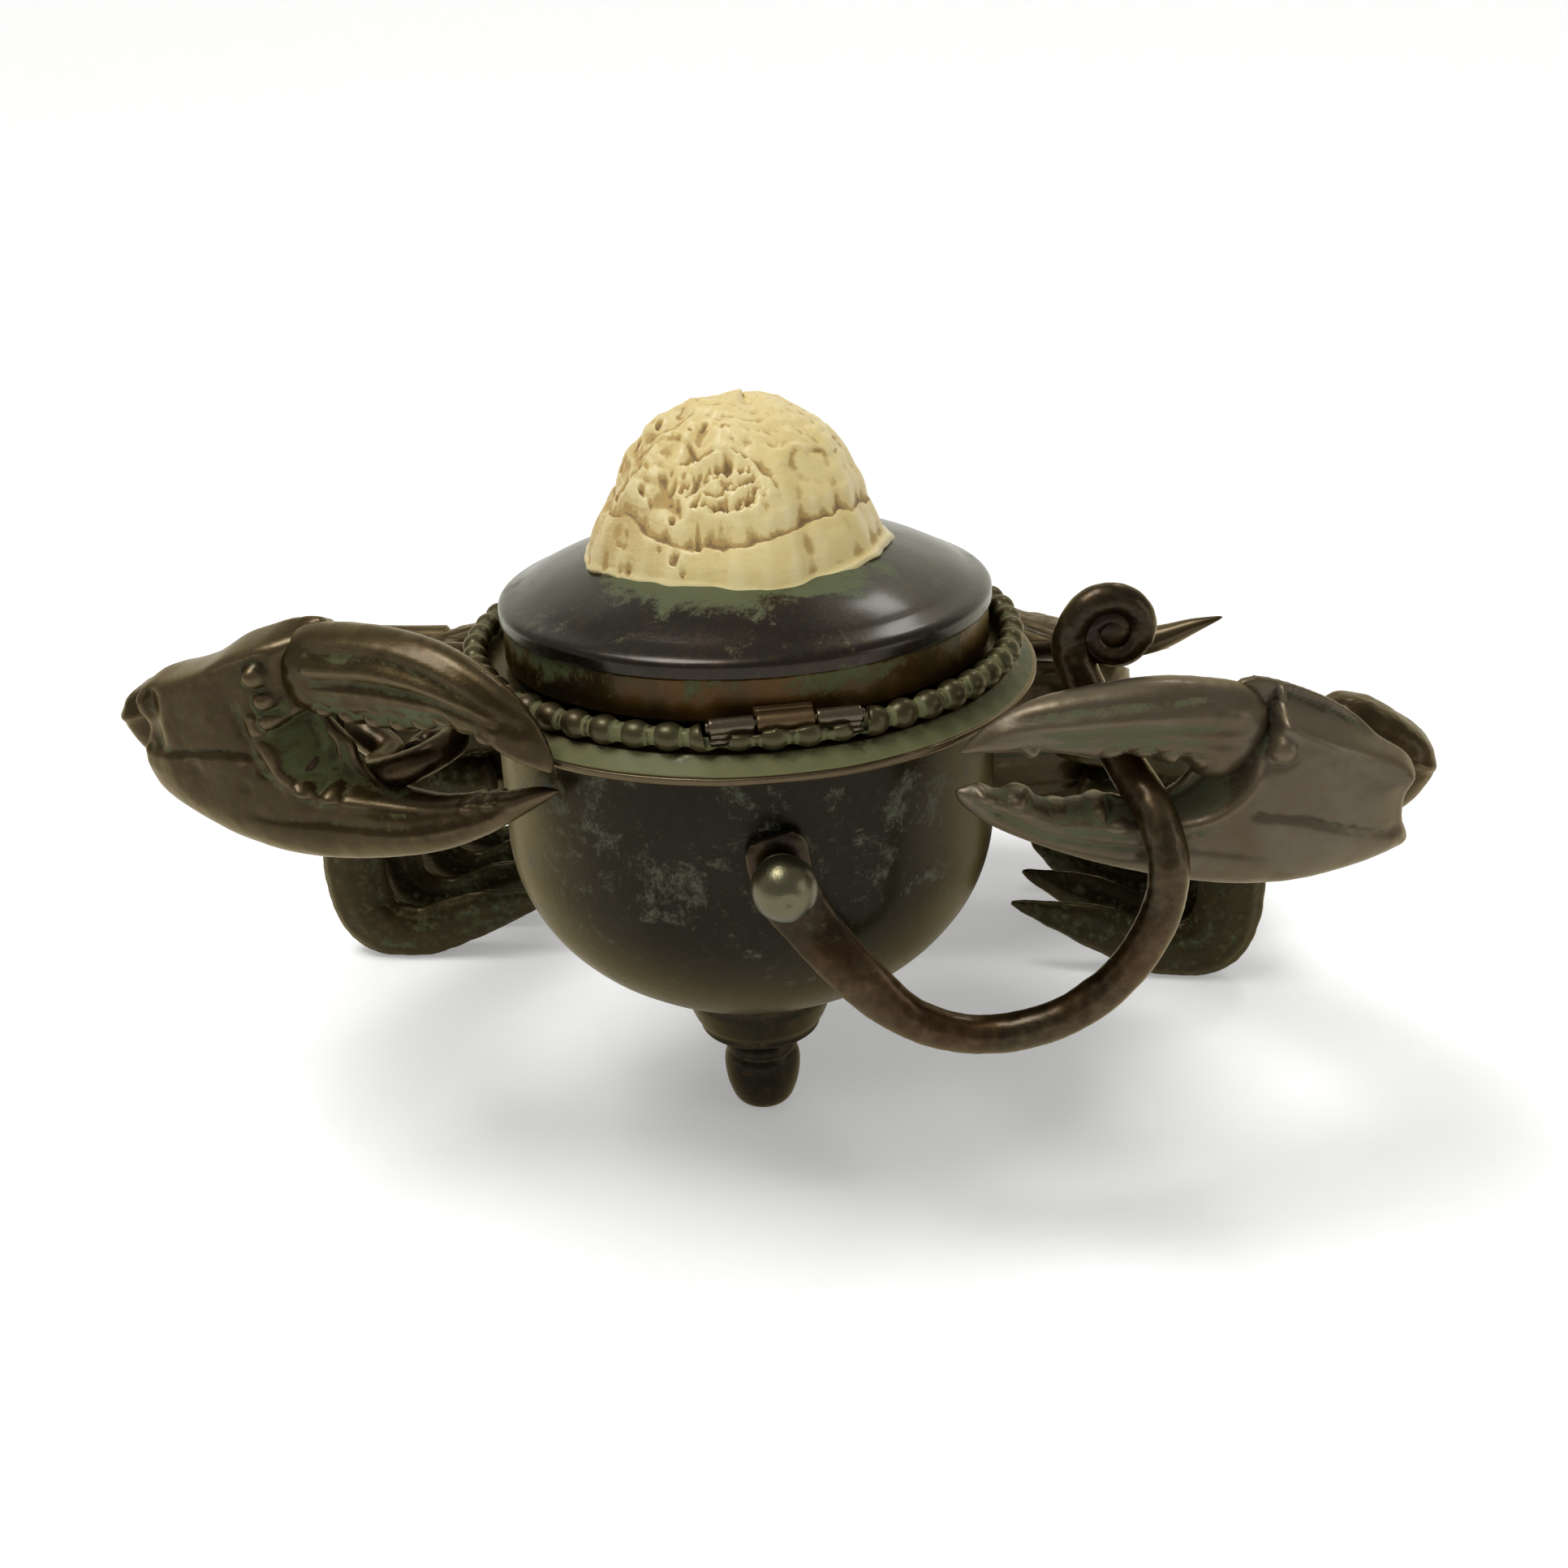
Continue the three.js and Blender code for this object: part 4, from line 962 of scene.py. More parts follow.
def shell_shape():
    """An oyster's upper valve: a smooth lumpy cap over broken layers, with a plain flared rim."""
    height = sizes().shell_height / MM + 0.5
    rows, columns = 190, 420
    angle = np.arange(columns) * TURN / columns
    share = np.concatenate([[0.0], np.linspace(0.012, 1.0, rows - 1)])
    f, a = np.meshgrid(share, angle, indexing="ij")
    reach = shell_edge(a) * f
    above = np.sqrt(np.maximum(1 - f**2, 0))
    lean = 1.6 * above - 11 * above * (1 - above) * np.maximum(np.cos(a), 0) * f
    x, y = np.cos(a) * reach + lean, np.sin(a) * reach

    def toward(degrees, width):
        """1 in one direction round the shell, falling to 0 at the width either side."""
        off = np.abs((np.degrees(a) - degrees + 180) % 360 - 180)
        return 1 - smoothstep(off, 0.45 * width, width)

    left = toward(190, 110)
    full = np.maximum(1 - np.minimum(f / 0.985, 1) ** 2.5, 0) ** 0.70
    slack = np.maximum(1 - np.minimum(f / 0.985, 1) ** 2.1, 0) ** 0.78
    base = (height - SHELL_EDGE) * (full * (1 - left) + slack * left)
    place = np.stack([x, y, base], -1).reshape(-1, 3)

    def lumps(size, octaves, seed):
        return grain(place, size, octaves, seed).reshape(f.shape)

    jag, broad = lumps(2.4, 4, 33.0), lumps(8.0, 2, 21.0)
    # Folds fan out from the summit, strongest on the left.
    fan = np.sin(a * 9 + 5.0 * f + 1.8 * lumps(6.0, 2, 4.0))
    folds = (0.15 + 0.85 * left) * fan * smoothstep(f, 0.25, 0.55) * (1 - smoothstep(f, 0.84, 0.93))
    # The cap ends in a jagged ledge well inside the edge, with thinner ledges above it.
    ledge = LEDGE + 0.014 * jag + 0.02 * broad + 0.02 * np.sin(3 * a + 1) - 0.05 * toward(200, 60)
    drop = 1.2 * (1 - smoothstep(f, ledge - 0.02, ledge + 0.02))
    undercut = 0.4 * bump(f - ledge - 0.02, 0.012)
    upper = 0.60 + 0.08 * broad + 0.03 * jag
    third = 0.74 + 0.06 * lumps(3.0, 3, 61.0)
    fourth = 0.66 + 0.07 * lumps(3.4, 3, 66.0)
    thin = 0
    for edge, soft, step, where in (
        (upper, 0.015, 0.6, toward(225, 80)),
        (third, 0.012, 0.6, toward(228, 62)),
        (fourth, 0.012, 0.45, toward(330, 40)),
    ):
        thin = thin + step * (1 - smoothstep(f, edge - soft, edge + soft)) * where
    lines = 0.07 * np.sin(60 * f + 4.0 * broad) * smoothstep(f, 0.12, 0.3)
    pits = smoothstep(lumps(2.4, 2, 77.0), 0.3, 0.7) * left * smoothstep(f, 0.35, 0.55)
    rise = base + drop - undercut + thin + lines - pits
    rise = rise + (0.9 * folds + 0.75 * broad + 0.16 * jag) * (1 - smoothstep(f, 0.8, 0.98) * 0.8)
    # A broken patch at the front: raised splinters round a hollow with a rough floor.
    u = ((np.degrees(a) - PATCH_ANGLE + 180) % 360 - 180) / PATCH_HALF_ANGLE
    v = (f - PATCH_SHARE) / PATCH_HALF_SHARE
    spot = np.hypot(u, v) + 0.35 * lumps(3.0, 3, 90.0)
    rise = rise - 1.1 * (1 - smoothstep(spot, 0.55, 0.8)) + 0.8 * bump(spot - 0.95, 0.13)
    rise = rise + 0.9 * np.abs(lumps(1.3, 4, 95.0)) * (1 - smoothstep(spot, 0.7, 1.2))
    splinter = np.abs(u * 0.5 + v * 0.9 + 0.35 * lumps(2.5, 2, 98.0))
    rise = rise + 1.0 * bump(splinter - 0.2, 0.14) * (1 - smoothstep(spot, 0.6, 1.0))
    # The rim: a smooth band that rolls over at its lower edge.
    past = np.maximum(f - RIM_START, 0) / RIM_WIDTH
    rim = 1.5 * np.sqrt(np.clip(1 - past**2, 0, 1))
    low = 0.8 * toward(275, 70) * smoothstep(f, 0.6, 0.95)
    seat = seat_at(np.hypot(x, y))
    z = seat + 0.7 - low + rim + np.maximum(rise, -0.3) - 0.25 * smoothstep(f, 0.97, 1.0)
    top = np.stack([x, y, z], -1)
    under = np.stack([x, y, seat - low * 1.2 + 0.3], -1)[::-1][1:]
    keep = np.linspace(0, rows - 2, 30).astype(int)
    sections = np.concatenate([top[1:], under[keep][:-1]])
    points, faces = skin(sections)
    return moved(points, lid_place()), faces


def knuckle_shape(start, end, radius=KNUCKLE_RADIUS):
    """A hinge knuckle along local X, with softly rounded ends and a proud end cap."""
    length = end - start
    profile = soft_corners([[0, 0], [radius * 0.92, 0], [radius, 0.25], [radius, length - 0.25],
                            [radius * 0.92, length], [0, length]], 0.22)
    points, faces = turned(profile, 40)
    return moved(points, shifted(start, 0, 0) @ spun("Y", 90)), faces


def block_shape(width, depth, height, centre, corner=0.18):
    """A small block with rounded long edges, lying along local X."""
    half_y, half_z = depth / 2, height / 2
    ring = soft_corners([[-half_y, -half_z], [half_y, -half_z], [half_y, half_z], [-half_y, half_z]],
                        corner, closed=True)
    stations = np.linspace(-width / 2, width / 2, 12)
    sections = np.array([[[x, y, z] for y, z in ring] for x in stations])
    points, faces = skin(sections)
    return points + np.array(centre), faces


def pot_leaf_shape():
    """The outer two knuckles on their strip, with posts and end caps."""
    half, inner = HINGE_LENGTH / 2, LID_KNUCKLE / 2 + 0.3
    parts = [block_shape(HINGE_LENGTH, 2.0, 0.5, [0, 0.2, -KNUCKLE_RADIUS - 0.6])]
    for side in (-1, 1):
        low, high = sorted((side * inner, side * half))
        parts.append(knuckle_shape(low, high))
        parts.append(block_shape(half - inner - 0.3, 1.3, 1.75, [side * (half + inner) / 2, 0.1, -0.9]))
        parts.append(knuckle_shape(side * half - 0.45, side * half + 0.45, KNUCKLE_RADIUS * 0.62))
    points, faces = merged(*parts)
    return moved(points, facing(HINGE_AZIMUTH, HINGE_CIRCLE, HINGE_HEIGHT)), faces


def lid_leaf_shape():
    """The middle knuckle and the tongue that joins it to the skirt."""
    half, behind = LID_KNUCKLE / 2, SKIRT_RADIUS + 0.1 - HINGE_CIRCLE
    points, faces = merged(
        knuckle_shape(-half, half, KNUCKLE_RADIUS * 1.05),
        block_shape(LID_KNUCKLE, -behind, 0.9, [0, behind / 2 + 0.05, 0.55]),
        block_shape(LID_KNUCKLE, 1.5, 1.3, [0, behind, 0.7]),
    )
    return moved(points, facing(HINGE_AZIMUTH, HINGE_CIRCLE, HINGE_HEIGHT)), faces


# ------------------------------------------------------------------ hooks and rivets

HOOK_AZIMUTH, SIDE_AZIMUTH, RIVET_HEIGHT = 13.6, -108.0, 61.0
BLADE_WIDTH, BLADE_THICKNESS = 8.6, 2.0
BLADE_MIDDLE = BOWL_RADIUS + 0.3 + BLADE_THICKNESS / 2
SCROLL_CENTRE, SIDE_SCROLL_CENTRE = [52.4, -19.5, 88.9], [-44.4, -17.0, 69.2]


def scroll(centre, first, second, radius, start, turns, steps, size, taper=0.42):
    """Stations of a scroll that winds inwards in the plane of two directions."""
    out = []
    for i in range(steps + 1):
        share = i / steps
        angle = math.radians(start) + share * turns * TURN
        reach = radius * (1 - 0.82 * share)
        p = np.array(centre) + math.cos(angle) * reach * np.array(first)
        p = p + math.sin(angle) * reach * np.array(second)
        half = size * (1 - taper * share)
        out.append([*p, half, half])
    return out


def blade_point(azimuth, along, height, width, thickness, stand=0.0):
    """A station of a hook's flat blade, which lies against the bowl."""
    p = moved([[along, stand, height]], facing(azimuth, BLADE_MIDDLE))[0]
    return [*p, width / 2, thickness / 2]


def hammered(sections, seed):
    """Faint facets and waves of hand forging."""
    flat = sections.reshape(-1, 3)
    return pushed(sections, 0.10 * grain(flat, 4.5, 2, seed) + 0.05 * grain(flat, 1.2, 2, seed + 5) - 0.05)


def front_hook_shape():
    """It hangs below the claw, comes up in front of the lower finger and goes behind the upper one."""
    r = sizes().rod_radius / MM
    a = HOOK_AZIMUTH
    blade = [
        blade_point(a, 1.0, RIVET_HEIGHT + 5.4, 5.6, 1.4),
        blade_point(a, 0.4, RIVET_HEIGHT + 3.2, BLADE_WIDTH, BLADE_THICKNESS),
        blade_point(a, -0.6, RIVET_HEIGHT - 2.5, BLADE_WIDTH, BLADE_THICKNESS),
        blade_point(a, -4.3, RIVET_HEIGHT - 9.0, BLADE_WIDTH - 0.8, BLADE_THICKNESS + 0.7, 0.4),
    ]
    arc = [
        [19.9, -38.0, 45.0, r + 0.9, r - 0.7], [27.3, -37.2, 38.4, r + 0.2, r - 0.1],
        [36.1, -36.6, 36.3, r, r], [46.2, -36.0, 38.7, r, r], [54.6, -35.2, 45.4, r, r],
        [59.5, -34.4, 54.8, r, r], [60.2, -33.7, 61.8, r, r], [58.6, -31.2, 67.2, r, r],
        [55.3, -26.2, 71.2, r, r], [51.8, -22.0, 76.2, r, r], [48.9, -19.8, 81.6, r, r],
        [47.2, -19.5, 86.0, r, r],
    ]
    x, y, z = SCROLL_CENTRE
    curl = scroll(SCROLL_CENTRE, [1, 0.1, 0], [0, 0, 1], 5.1, 172, -1.6, 14, 2.3, 0.36)
    button = ((1.4, 1.9), (0, 2.0), (-1.2, 1.9), (-1.7, 1.2))
    eye = loft([[x, y + stand, z, half, half] for stand, half in button], 30, 32)
    return merged(skin(hammered(loft(blade + arc + curl, 560, 44, outward(a)), 2.0)), skin(eye))


def side_hook_shape():
    """It runs from the left of the pot into the left claw, where its scroll lies flat."""
    r = sizes().rod_radius / MM
    a = SIDE_AZIMUTH
    blade = [
        blade_point(a, -1.0, RIVET_HEIGHT - 5.4, 5.6, 1.4),
        blade_point(a, -0.4, RIVET_HEIGHT - 3.2, BLADE_WIDTH, BLADE_THICKNESS),
        blade_point(a, 0.6, RIVET_HEIGHT + 2.5, BLADE_WIDTH, BLADE_THICKNESS),
        blade_point(a, 1.6, RIVET_HEIGHT + 7.4, BLADE_WIDTH - 1.4, BLADE_THICKNESS + 1.4, 1.0),
    ]
    arc = [
        [-46.0, 12.5, 71.6, r, r], [-53.5, 9.0, 72.0, r, r], [-57.5, 0.5, 70.2, r, r],
        [-56.4, -8.5, 68.6, r, r],
    ]
    curl = scroll(SIDE_SCROLL_CENTRE, [0.93, 0, 0.37], [0, 1, -0.05], 8.4, 150, 1.1, 10, 2.6, 0.25)
    return skin(hammered(loft(blade + arc + curl, 380, 44, outward(a)), 12.0))


def rivet_shape(azimuth):
    """A ball head on a low collar, with a small dimple on its top."""
    ball = sizes().rivet_radius / MM
    seat = BLADE_MIDDLE + BLADE_THICKNESS / 2 + 0.1
    inside = BOWL_RADIUS - BOWL_WALL - 3.1
    start = math.radians(-55)
    centre = seat + 0.2 + ball * math.sin(-start)
    arc = np.linspace(start, math.radians(88), 34)
    head = [[ball * math.cos(t), centre + ball * math.sin(t)] for t in arc]
    for p in head:
        p[1] -= 0.35 * float(bump(p[0], 0.75))
    collar = [[1.5, inside], [1.5, seat], [3.3, seat], [3.3, seat + 0.35]]
    points, faces = turned([[0, inside]] + collar + head + [[0, head[-1][1] - 0.02]], 64)
    points[:, :2] *= (1 + 0.012 * grain(points, 3, 2, 7.0))[:, None]
    return moved(points, facing(azimuth, 0, RIVET_HEIGHT) @ spun("X", -90)), faces


# ------------------------------------------------------------------ claws

# A claw is drawn in its own plane: the first number runs from the finger tips back to the wrist, the
# second is the height. "half" is half the thickness and "shift" how far the middle stands back, both by
# distance from the tips. "crown" is a line with a flat top above it. A line is its knots, its width, the
# height of a ridge along it (below 0 a crease), a step beside it and the slope down beyond it. A boss is
# its centre, radius and height, an aged spot its centre and size.
SLAB_HALF, CROWN_EDGE, THINNEST = 0.6, 2.4, 0.8
FINGER_AGED = [[30.0, 79.6, 4.0], [22.0, 79.0, 4.0], [14.0, 79.6, 4.0]]
CLAWS = {
    "left": {
        "tips": [-21.3, -33.5],
        "wrist": [-89.8, -14.9],
        "palm": [
            [-0.4, 70.6], [3.0, 70.6], [8.0, 69.2], [12.5, 68.3], [19.8, 66.8], [26.0, 67.0], [28.8, 68.0],
            [31.4, 70.6], [32.2, 73.6], [35.0, 76.4], [37.4, 80.0], [36.6, 84.0], [33.6, 89.6],
            [34.2, 91.6], [38.4, 91.4], [43.0, 89.9], [46.8, 88.4], [52.0, 85.2], [58.0, 82.8], [62.5, 81.4],
            [64.4, 78.8], [63.8, 75.2], [65.2, 71.6], [66.6, 69.2], [64.3, 63.4], [57.1, 59.4], [49.6, 56.8],
            [39.5, 55.4], [29.2, 56.2], [19.0, 58.7], [11.4, 62.3], [6.3, 65.6], [1.2, 69.2],
        ],
        "finger": [
            [-2.3, 75.4], [1.6, 76.6], [5.6, 78.6], [8.1, 79.8], [10.2, 79.8], [12.8, 80.8], [15.4, 79.0],
            [17.2, 79.9], [19.0, 78.2], [21.4, 79.3], [23.0, 78.0], [25.6, 79.1], [27.4, 77.9], [30.2, 79.1],
            [34.0, 78.3], [38.0, 79.8], [40.0, 82.4], [40.6, 86.0], [39.4, 89.2], [36.6, 91.0], [31.0, 92.0],
            [23.0, 92.5], [15.7, 92.0], [9.2, 90.3], [2.9, 86.8], [-0.7, 82.4], [-2.6, 77.4],
        ],
        "palm half": [[0, 0.7], [6, 2.6], [14, 3.8], [25, 4.7], [34, 5.2], [38, 6.2], [43, 6.9], [50, 7.4],
                      [58, 7.0], [63, 5.9], [66.5, 5.6]],
        "crown": [[38, 80.0], [48, 76.5], [64, 74.5]],
        "finger half": [[-2.6, 0.6], [2, 2.2], [9, 3.5], [15, 4.2], [24, 4.8], [32, 5.2], [39, 5.2],
                        [43, 4.7]],
        "palm shift": [[0, 0.4], [25, 0.8], [44, 0.1], [66, 0]],
        "finger shift": [[-2.6, -4.6], [4, -5.2], [9, -4.6], [15, -3.6], [24, -2.4], [32, -1.4], [40, -0.8]],
        "palm lines": [
            ([[65.6, 69.6], [63.9, 73.0], [62.9, 76.0], [63.2, 79.0], [63.6, 81.4]], 0.9, 1.2, 0.0, 0.0),
            ([[60.6, 81.0], [60.4, 77.5], [60.8, 73.5], [61.6, 71.4]], 1.3, -0.8, 0.0, 0.0),
            ([[65.4, 70.6], [58.1, 71.6], [52.8, 72.5], [45.6, 73.0], [43.4, 72.0]], 0.6, -0.5, 0.7, 0.0),
            ([[63.0, 81.2], [58.6, 82.2], [53.1, 84.2], [46.7, 86.6], [40.4, 88.8], [36.0, 90.0]],
             0.6, 0.25, 0.0, 1.1),
            ([[42.8, 75.8], [41.3, 73.1], [40.2, 70.5], [37.4, 68.2], [34.4, 66.9], [27.1, 66.2],
              [19.8, 66.6], [12.1, 68.0], [5.0, 70.4]], 0.9, 0.8, 0.0, 1.0),
            ([[47.9, 64.0], [42.0, 63.0], [34.9, 63.0], [25.2, 62.6], [14.0, 64.9], [6.0, 68.0]],
             0.8, -0.45, 0.3, 0.0),
            ([[45.8, 81.0], [45.4, 78.0], [44.2, 74.6], [43.4, 72.0], [41.8, 69.6]], 0.8, -0.55, 0.0, 0.0),
            ([[43.0, 79.0], [42.8, 75.8]], 0.9, 0.5, 0.0, 0.0),
            ([[37.4, 76.6], [36.2, 73.2], [37.2, 70.0]], 0.5, 0.7, 0.0, 0.0),
            ([[35.6, 76.0], [34.0, 73.2], [34.4, 69.4]], 0.5, 0.6, 0.0, 0.0),
        ],
        "palm aged": [[36.5, 72.6, 5.5], [39.0, 78.5, 3.0], [24.0, 67.6, 4.0]],
        "palm bosses": [[41.6, 84.9, 1.75, 1.9], [40.9, 81.2, 1.5, 1.2], [40.6, 78.0, 1.4, 0.9],
                        [36.8, 68.0, 1.3, 1.0], [33.4, 67.4, 1.3, 1.0], [13.5, 67.8, 1.1, 0.8],
                        [10.2, 68.4, 1.0, 0.8], [53.7, 70.2, 0.35, -0.5], [45.7, 68.2, 0.35, -0.5]],
        "finger lines": [
            ([[36.5, 90.4], [28.3, 91.6], [20.5, 91.7], [13.4, 90.4], [7.0, 87.6], [0.9, 83.2], [-1.8, 79.6]],
             0.7, -0.45, 0.45, 0.0),
            ([[35.8, 88.4], [28.8, 89.0], [21.3, 89.6], [15.0, 88.6], [8.6, 86.4], [2.7, 83.2], [-1.0, 80.2]],
             0.9, -0.75, 0.0, 0.0),
            ([[35.3, 86.4], [28.0, 87.2], [20.8, 87.6], [14.0, 86.8], [8.0, 85.0], [3.0, 82.6]],
             0.9, 0.55, 0.0, 0.0),
            ([[34.3, 84.4], [26.5, 85.4], [20.0, 85.7], [13.2, 85.2], [7.5, 83.8], [2.5, 81.6]],
             0.7, -0.6, 0.35, 0.0),
            ([[34.0, 82.6], [26.0, 83.2], [18.0, 83.2], [11.0, 82.6]], 0.6, -0.3, 0.0, 0.0),
        ],
        "finger bosses": [[16.6, 80.2, 1.3, 1.0], [20.2, 80.0, 1.3, 1.0], [24.3, 79.8, 1.3, 1.0],
                          [28.6, 79.8, 1.4, 1.0], [32.4, 79.6, 1.3, 0.8], [12.6, 81.4, 1.3, 0.9],
                          [6.5, 80.2, 1.1, 0.7]],
    },
    "right": {
        "tips": [32.0, -31.6],
        "wrist": [95.7, -18.0],
        "palm": [
            [0.0, 70.4], [3.0, 71.1], [5.9, 70.1], [7.9, 70.4], [10.0, 70.2], [11.3, 68.6], [14.7, 67.8],
            [18.1, 68.1], [20.6, 68.4], [24.5, 67.4], [27.6, 67.8], [30.4, 69.4], [32.4, 71.8], [35.6, 74.4],
            [38.0, 77.4], [38.6, 81.2], [37.4, 83.0], [39.6, 84.0], [42.4, 83.5], [46.0, 82.2], [50.5, 80.0],
            [54.5, 77.2], [57.4, 74.4], [61.6, 71.4], [62.6, 69.2], [61.2, 66.6], [61.2, 63.0], [62.3, 59.4],
            [57.0, 56.9], [50.6, 55.1], [43.7, 54.2], [37.1, 54.3], [30.0, 55.4], [21.8, 57.6], [13.2, 60.8],
            [4.6, 65.2], [0.8, 68.6],
        ],
        "finger": [
            [0.0, 76.6], [4.0, 76.6], [8.3, 76.5], [9.4, 75.8], [11.0, 76.4], [15.7, 75.6], [18.0, 74.9],
            [20.4, 75.4], [24.9, 74.7], [27.5, 73.4], [29.5, 73.8], [31.8, 71.6], [35.0, 70.8], [38.0, 72.2],
            [40.2, 74.6], [41.6, 77.4], [41.2, 80.6], [38.6, 83.2], [32.6, 84.8], [26.5, 85.5], [18.3, 85.0],
            [10.2, 83.6], [4.1, 80.5],
        ],
        "palm half": [[0, 0.7], [5, 2.3], [12, 3.6], [22, 4.5], [32, 5.1], [38, 6.0], [44, 6.9], [50, 7.2],
                      [55, 6.8], [62, 5.4]],
        "crown": [[38, 84.0], [62, 78.0]],
        "finger half": [[0, 0.5], [5, 2.2], [12, 3.4], [20, 4.1], [28, 4.5], [35, 4.8], [42, 4.4]],
        "palm shift": [[0, 0.8], [25, 1.0], [44, 0.1], [62, 0]],
        "finger shift": [[0, -1.4], [13, -1.8], [27, -1.5], [38, -0.8], [42, -0.4]],
        "palm lines": [
            ([[61.4, 70.2], [60.4, 67.4], [60.3, 64.2], [61.0, 60.6]], 0.9, 0.7, 0.0, 0.0),
            ([[42.0, 79.6], [44.5, 78.3], [48.8, 76.4], [54.5, 74.0], [58.8, 72.0], [61.4, 70.4]],
             0.6, 0.4, 0.0, 1.15),
            ([[38.0, 66.8], [40.8, 66.6], [45.1, 66.3], [49.4, 65.0], [53.7, 63.8], [56.8, 62.6],
              [60.4, 62.0]], 0.7, -0.5, 0.6, 0.0),
            ([[20.0, 65.2], [27.0, 65.0], [32.5, 65.6], [36.2, 67.8], [38.6, 70.6], [39.9, 73.8]],
             0.9, 0.75, 0.0, 1.0),
            ([[26.1, 62.2], [34.6, 61.2], [42.5, 60.2]], 0.8, -0.4, 0.25, 0.0),
            ([[2.0, 70.2], [10.1, 67.6], [16.3, 65.8], [24.2, 65.8]], 1.0, 0.65, 0.0, 0.0),
            ([[3.6, 68.4], [12.2, 63.8], [24.9, 61.3], [30.0, 60.8]], 0.7, -0.65, 0.0, 0.0),
            ([[42.0, 81.6], [44.6, 80.6], [49.6, 78.6]], 0.8, -0.4, 0.0, 0.0),
        ],
        "palm aged": [[33.0, 69.8, 5.0], [38.5, 76.0, 3.0], [14.0, 68.4, 7.0], [5.0, 70.0, 4.0],
                      [22.0, 67.4, 5.0]],
        "palm bosses": [[42.0, 75.8, 1.7, 0.9], [8.4, 69.6, 1.2, 0.7], [14.0, 67.6, 1.0, 0.6],
                        [19.4, 67.4, 1.3, 0.7], [4.0, 70.2, 1.2, 0.7]],
        "finger lines": [
            ([[1.7, 78.0], [5.3, 80.6], [11.4, 81.9], [19.4, 82.8], [27.5, 82.9], [33.6, 83.0], [40.0, 81.8]],
             0.7, -0.55, 0.4, 0.0),
            ([[1.8, 77.6], [7.4, 79.5], [15.5, 79.7], [23.6, 79.9], [31.7, 79.5], [40.0, 78.6]],
             0.8, -0.5, 0.0, 0.0),
            ([[7.4, 77.7], [13.5, 78.0], [23.6, 78.1], [33.9, 77.1], [40.0, 76.2]], 0.6, -0.3, 0.2, 0.0),
        ],
        "finger bosses": [[9.5, 76.8, 1.2, 0.8], [20.2, 75.9, 1.3, 0.8], [28.0, 75.0, 1.1, 0.6],
                          [31.4, 74.4, 1.2, 0.6], [24.2, 75.4, 1.2, 0.6]],
    },
}


def claw_place(claw):
    """Local X from the tips to the wrist, local Y away from the front, local Z up."""
    tips, wrist = np.array([*claw["tips"], 0.0]), np.array([*claw["wrist"], 0.0])
    along = (wrist - tips) / np.linalg.norm(wrist - tips)
    up = np.array([0.0, 0.0, 1.0])
    across = np.cross(up, along)
    across = across if across[1] > 0 else -across
    place = np.eye(4)
    place[:3, 0], place[:3, 1], place[:3, 2], place[:3, 3] = along, across, up, tips
    return place


def pick(table, at):
    """Reads a table of [distance, value] rows at the given distances."""
    rows = np.array(table, float)
    return np.interp(at, rows[:, 0], rows[:, 1])


def cast_claw(claw, part, seed):
    """A finger or palm: its outline swelled out to a lens, with ridges, creases, bosses and teeth."""
    outline = smooth_line(np.array(claw[part] + claw[part][:1]), 260)[:-1]
    mesh = cast_slab(outline, SLAB_HALF, sizes().claw_voxel / MM)
    points = read_points(mesh) / MM
    plane = points[:, [0, 2]]
    ring = np.vstack([outline, outline[:1]])
    inset, _, _ = along_line(plane, ring)
    half = pick(claw[part + " half"], plane[:, 0])
    width = np.maximum(half * 1.15, 1.0)
    if part == "palm":
        crown = smoothstep(plane[:, 1] - pick(claw["crown"], plane[:, 0]), -3.0, 3.0)
        crown = crown * smoothstep(plane[:, 0], 34, 42)
        width = width * (1 - crown) + CROWN_EDGE * crown
    dome = np.sqrt(np.clip(1 - (1 - np.minimum(inset / width, 1)) ** 2, 0, 1))
    thick = half * (0.06 + 0.94 * dome)
    for line, wide, ridge, step, fall in claw[part + " lines"]:
        knots = smooth_line(np.array(line), 60)
        away, side, share = along_line(plane, knots)
        ends = smoothstep(share, 0.0, 0.08) * smoothstep(1 - share, 0.0, 0.08)
        ends = ends * smoothstep(inset, 0.0, 0.8)
        signed = away * side * np.sign(knots[0, 0] - knots[-1, 0])
        lifted = 0.5 * (1 - np.tanh(-signed / 0.35)) * np.exp(-((away / 4.0) ** 2))
        thick = thick + ends * (ridge * bump(away, wide) + step * lifted)
        above = np.maximum(-signed, 0.0) * (away < 12) * smoothstep(share, 0.0, 0.02)
        thick = np.maximum(thick - fall * above, np.minimum(thick, THINNEST))
    for x, z, radius, height in claw[part + " bosses"]:
        away = np.hypot(plane[:, 0] - x, plane[:, 1] - z)
        dome = np.sqrt(np.clip(1 - (away / radius) ** 2, 0, 1))
        thick = thick + height * dome - 0.35 * bump(away - radius - 0.35, 0.35)
    across = points[:, 1] / SLAB_HALF
    flat = np.column_stack([plane[:, 0], across * 4, plane[:, 1]])
    rough = 0.16 * grain(flat, 5.5, 3, seed) + 0.07 * grain(flat, 1.3, 3, seed + 3)
    thick = thick + rough * smoothstep(inset, 0.0, 1.5)
    points[:, 1] = across * thick + pick(claw[part + " shift"], plane[:, 0])
    points = relax(mesh, points, 2)
    points = moved(points, claw_place(claw))
    spots = claw.get(part + " aged", FINGER_AGED)
    aged = sum(bump(np.hypot(plane[:, 0] - x, plane[:, 1] - z), size) for x, z, size in spots)
    mesh.vertices.foreach_set("co", (points * MM).ravel())
    if claw["tips"][0] < 0:
        mesh.flip_normals()
    mesh.update()
    return mesh, aged


# ------------------------------------------------------------------ crab body

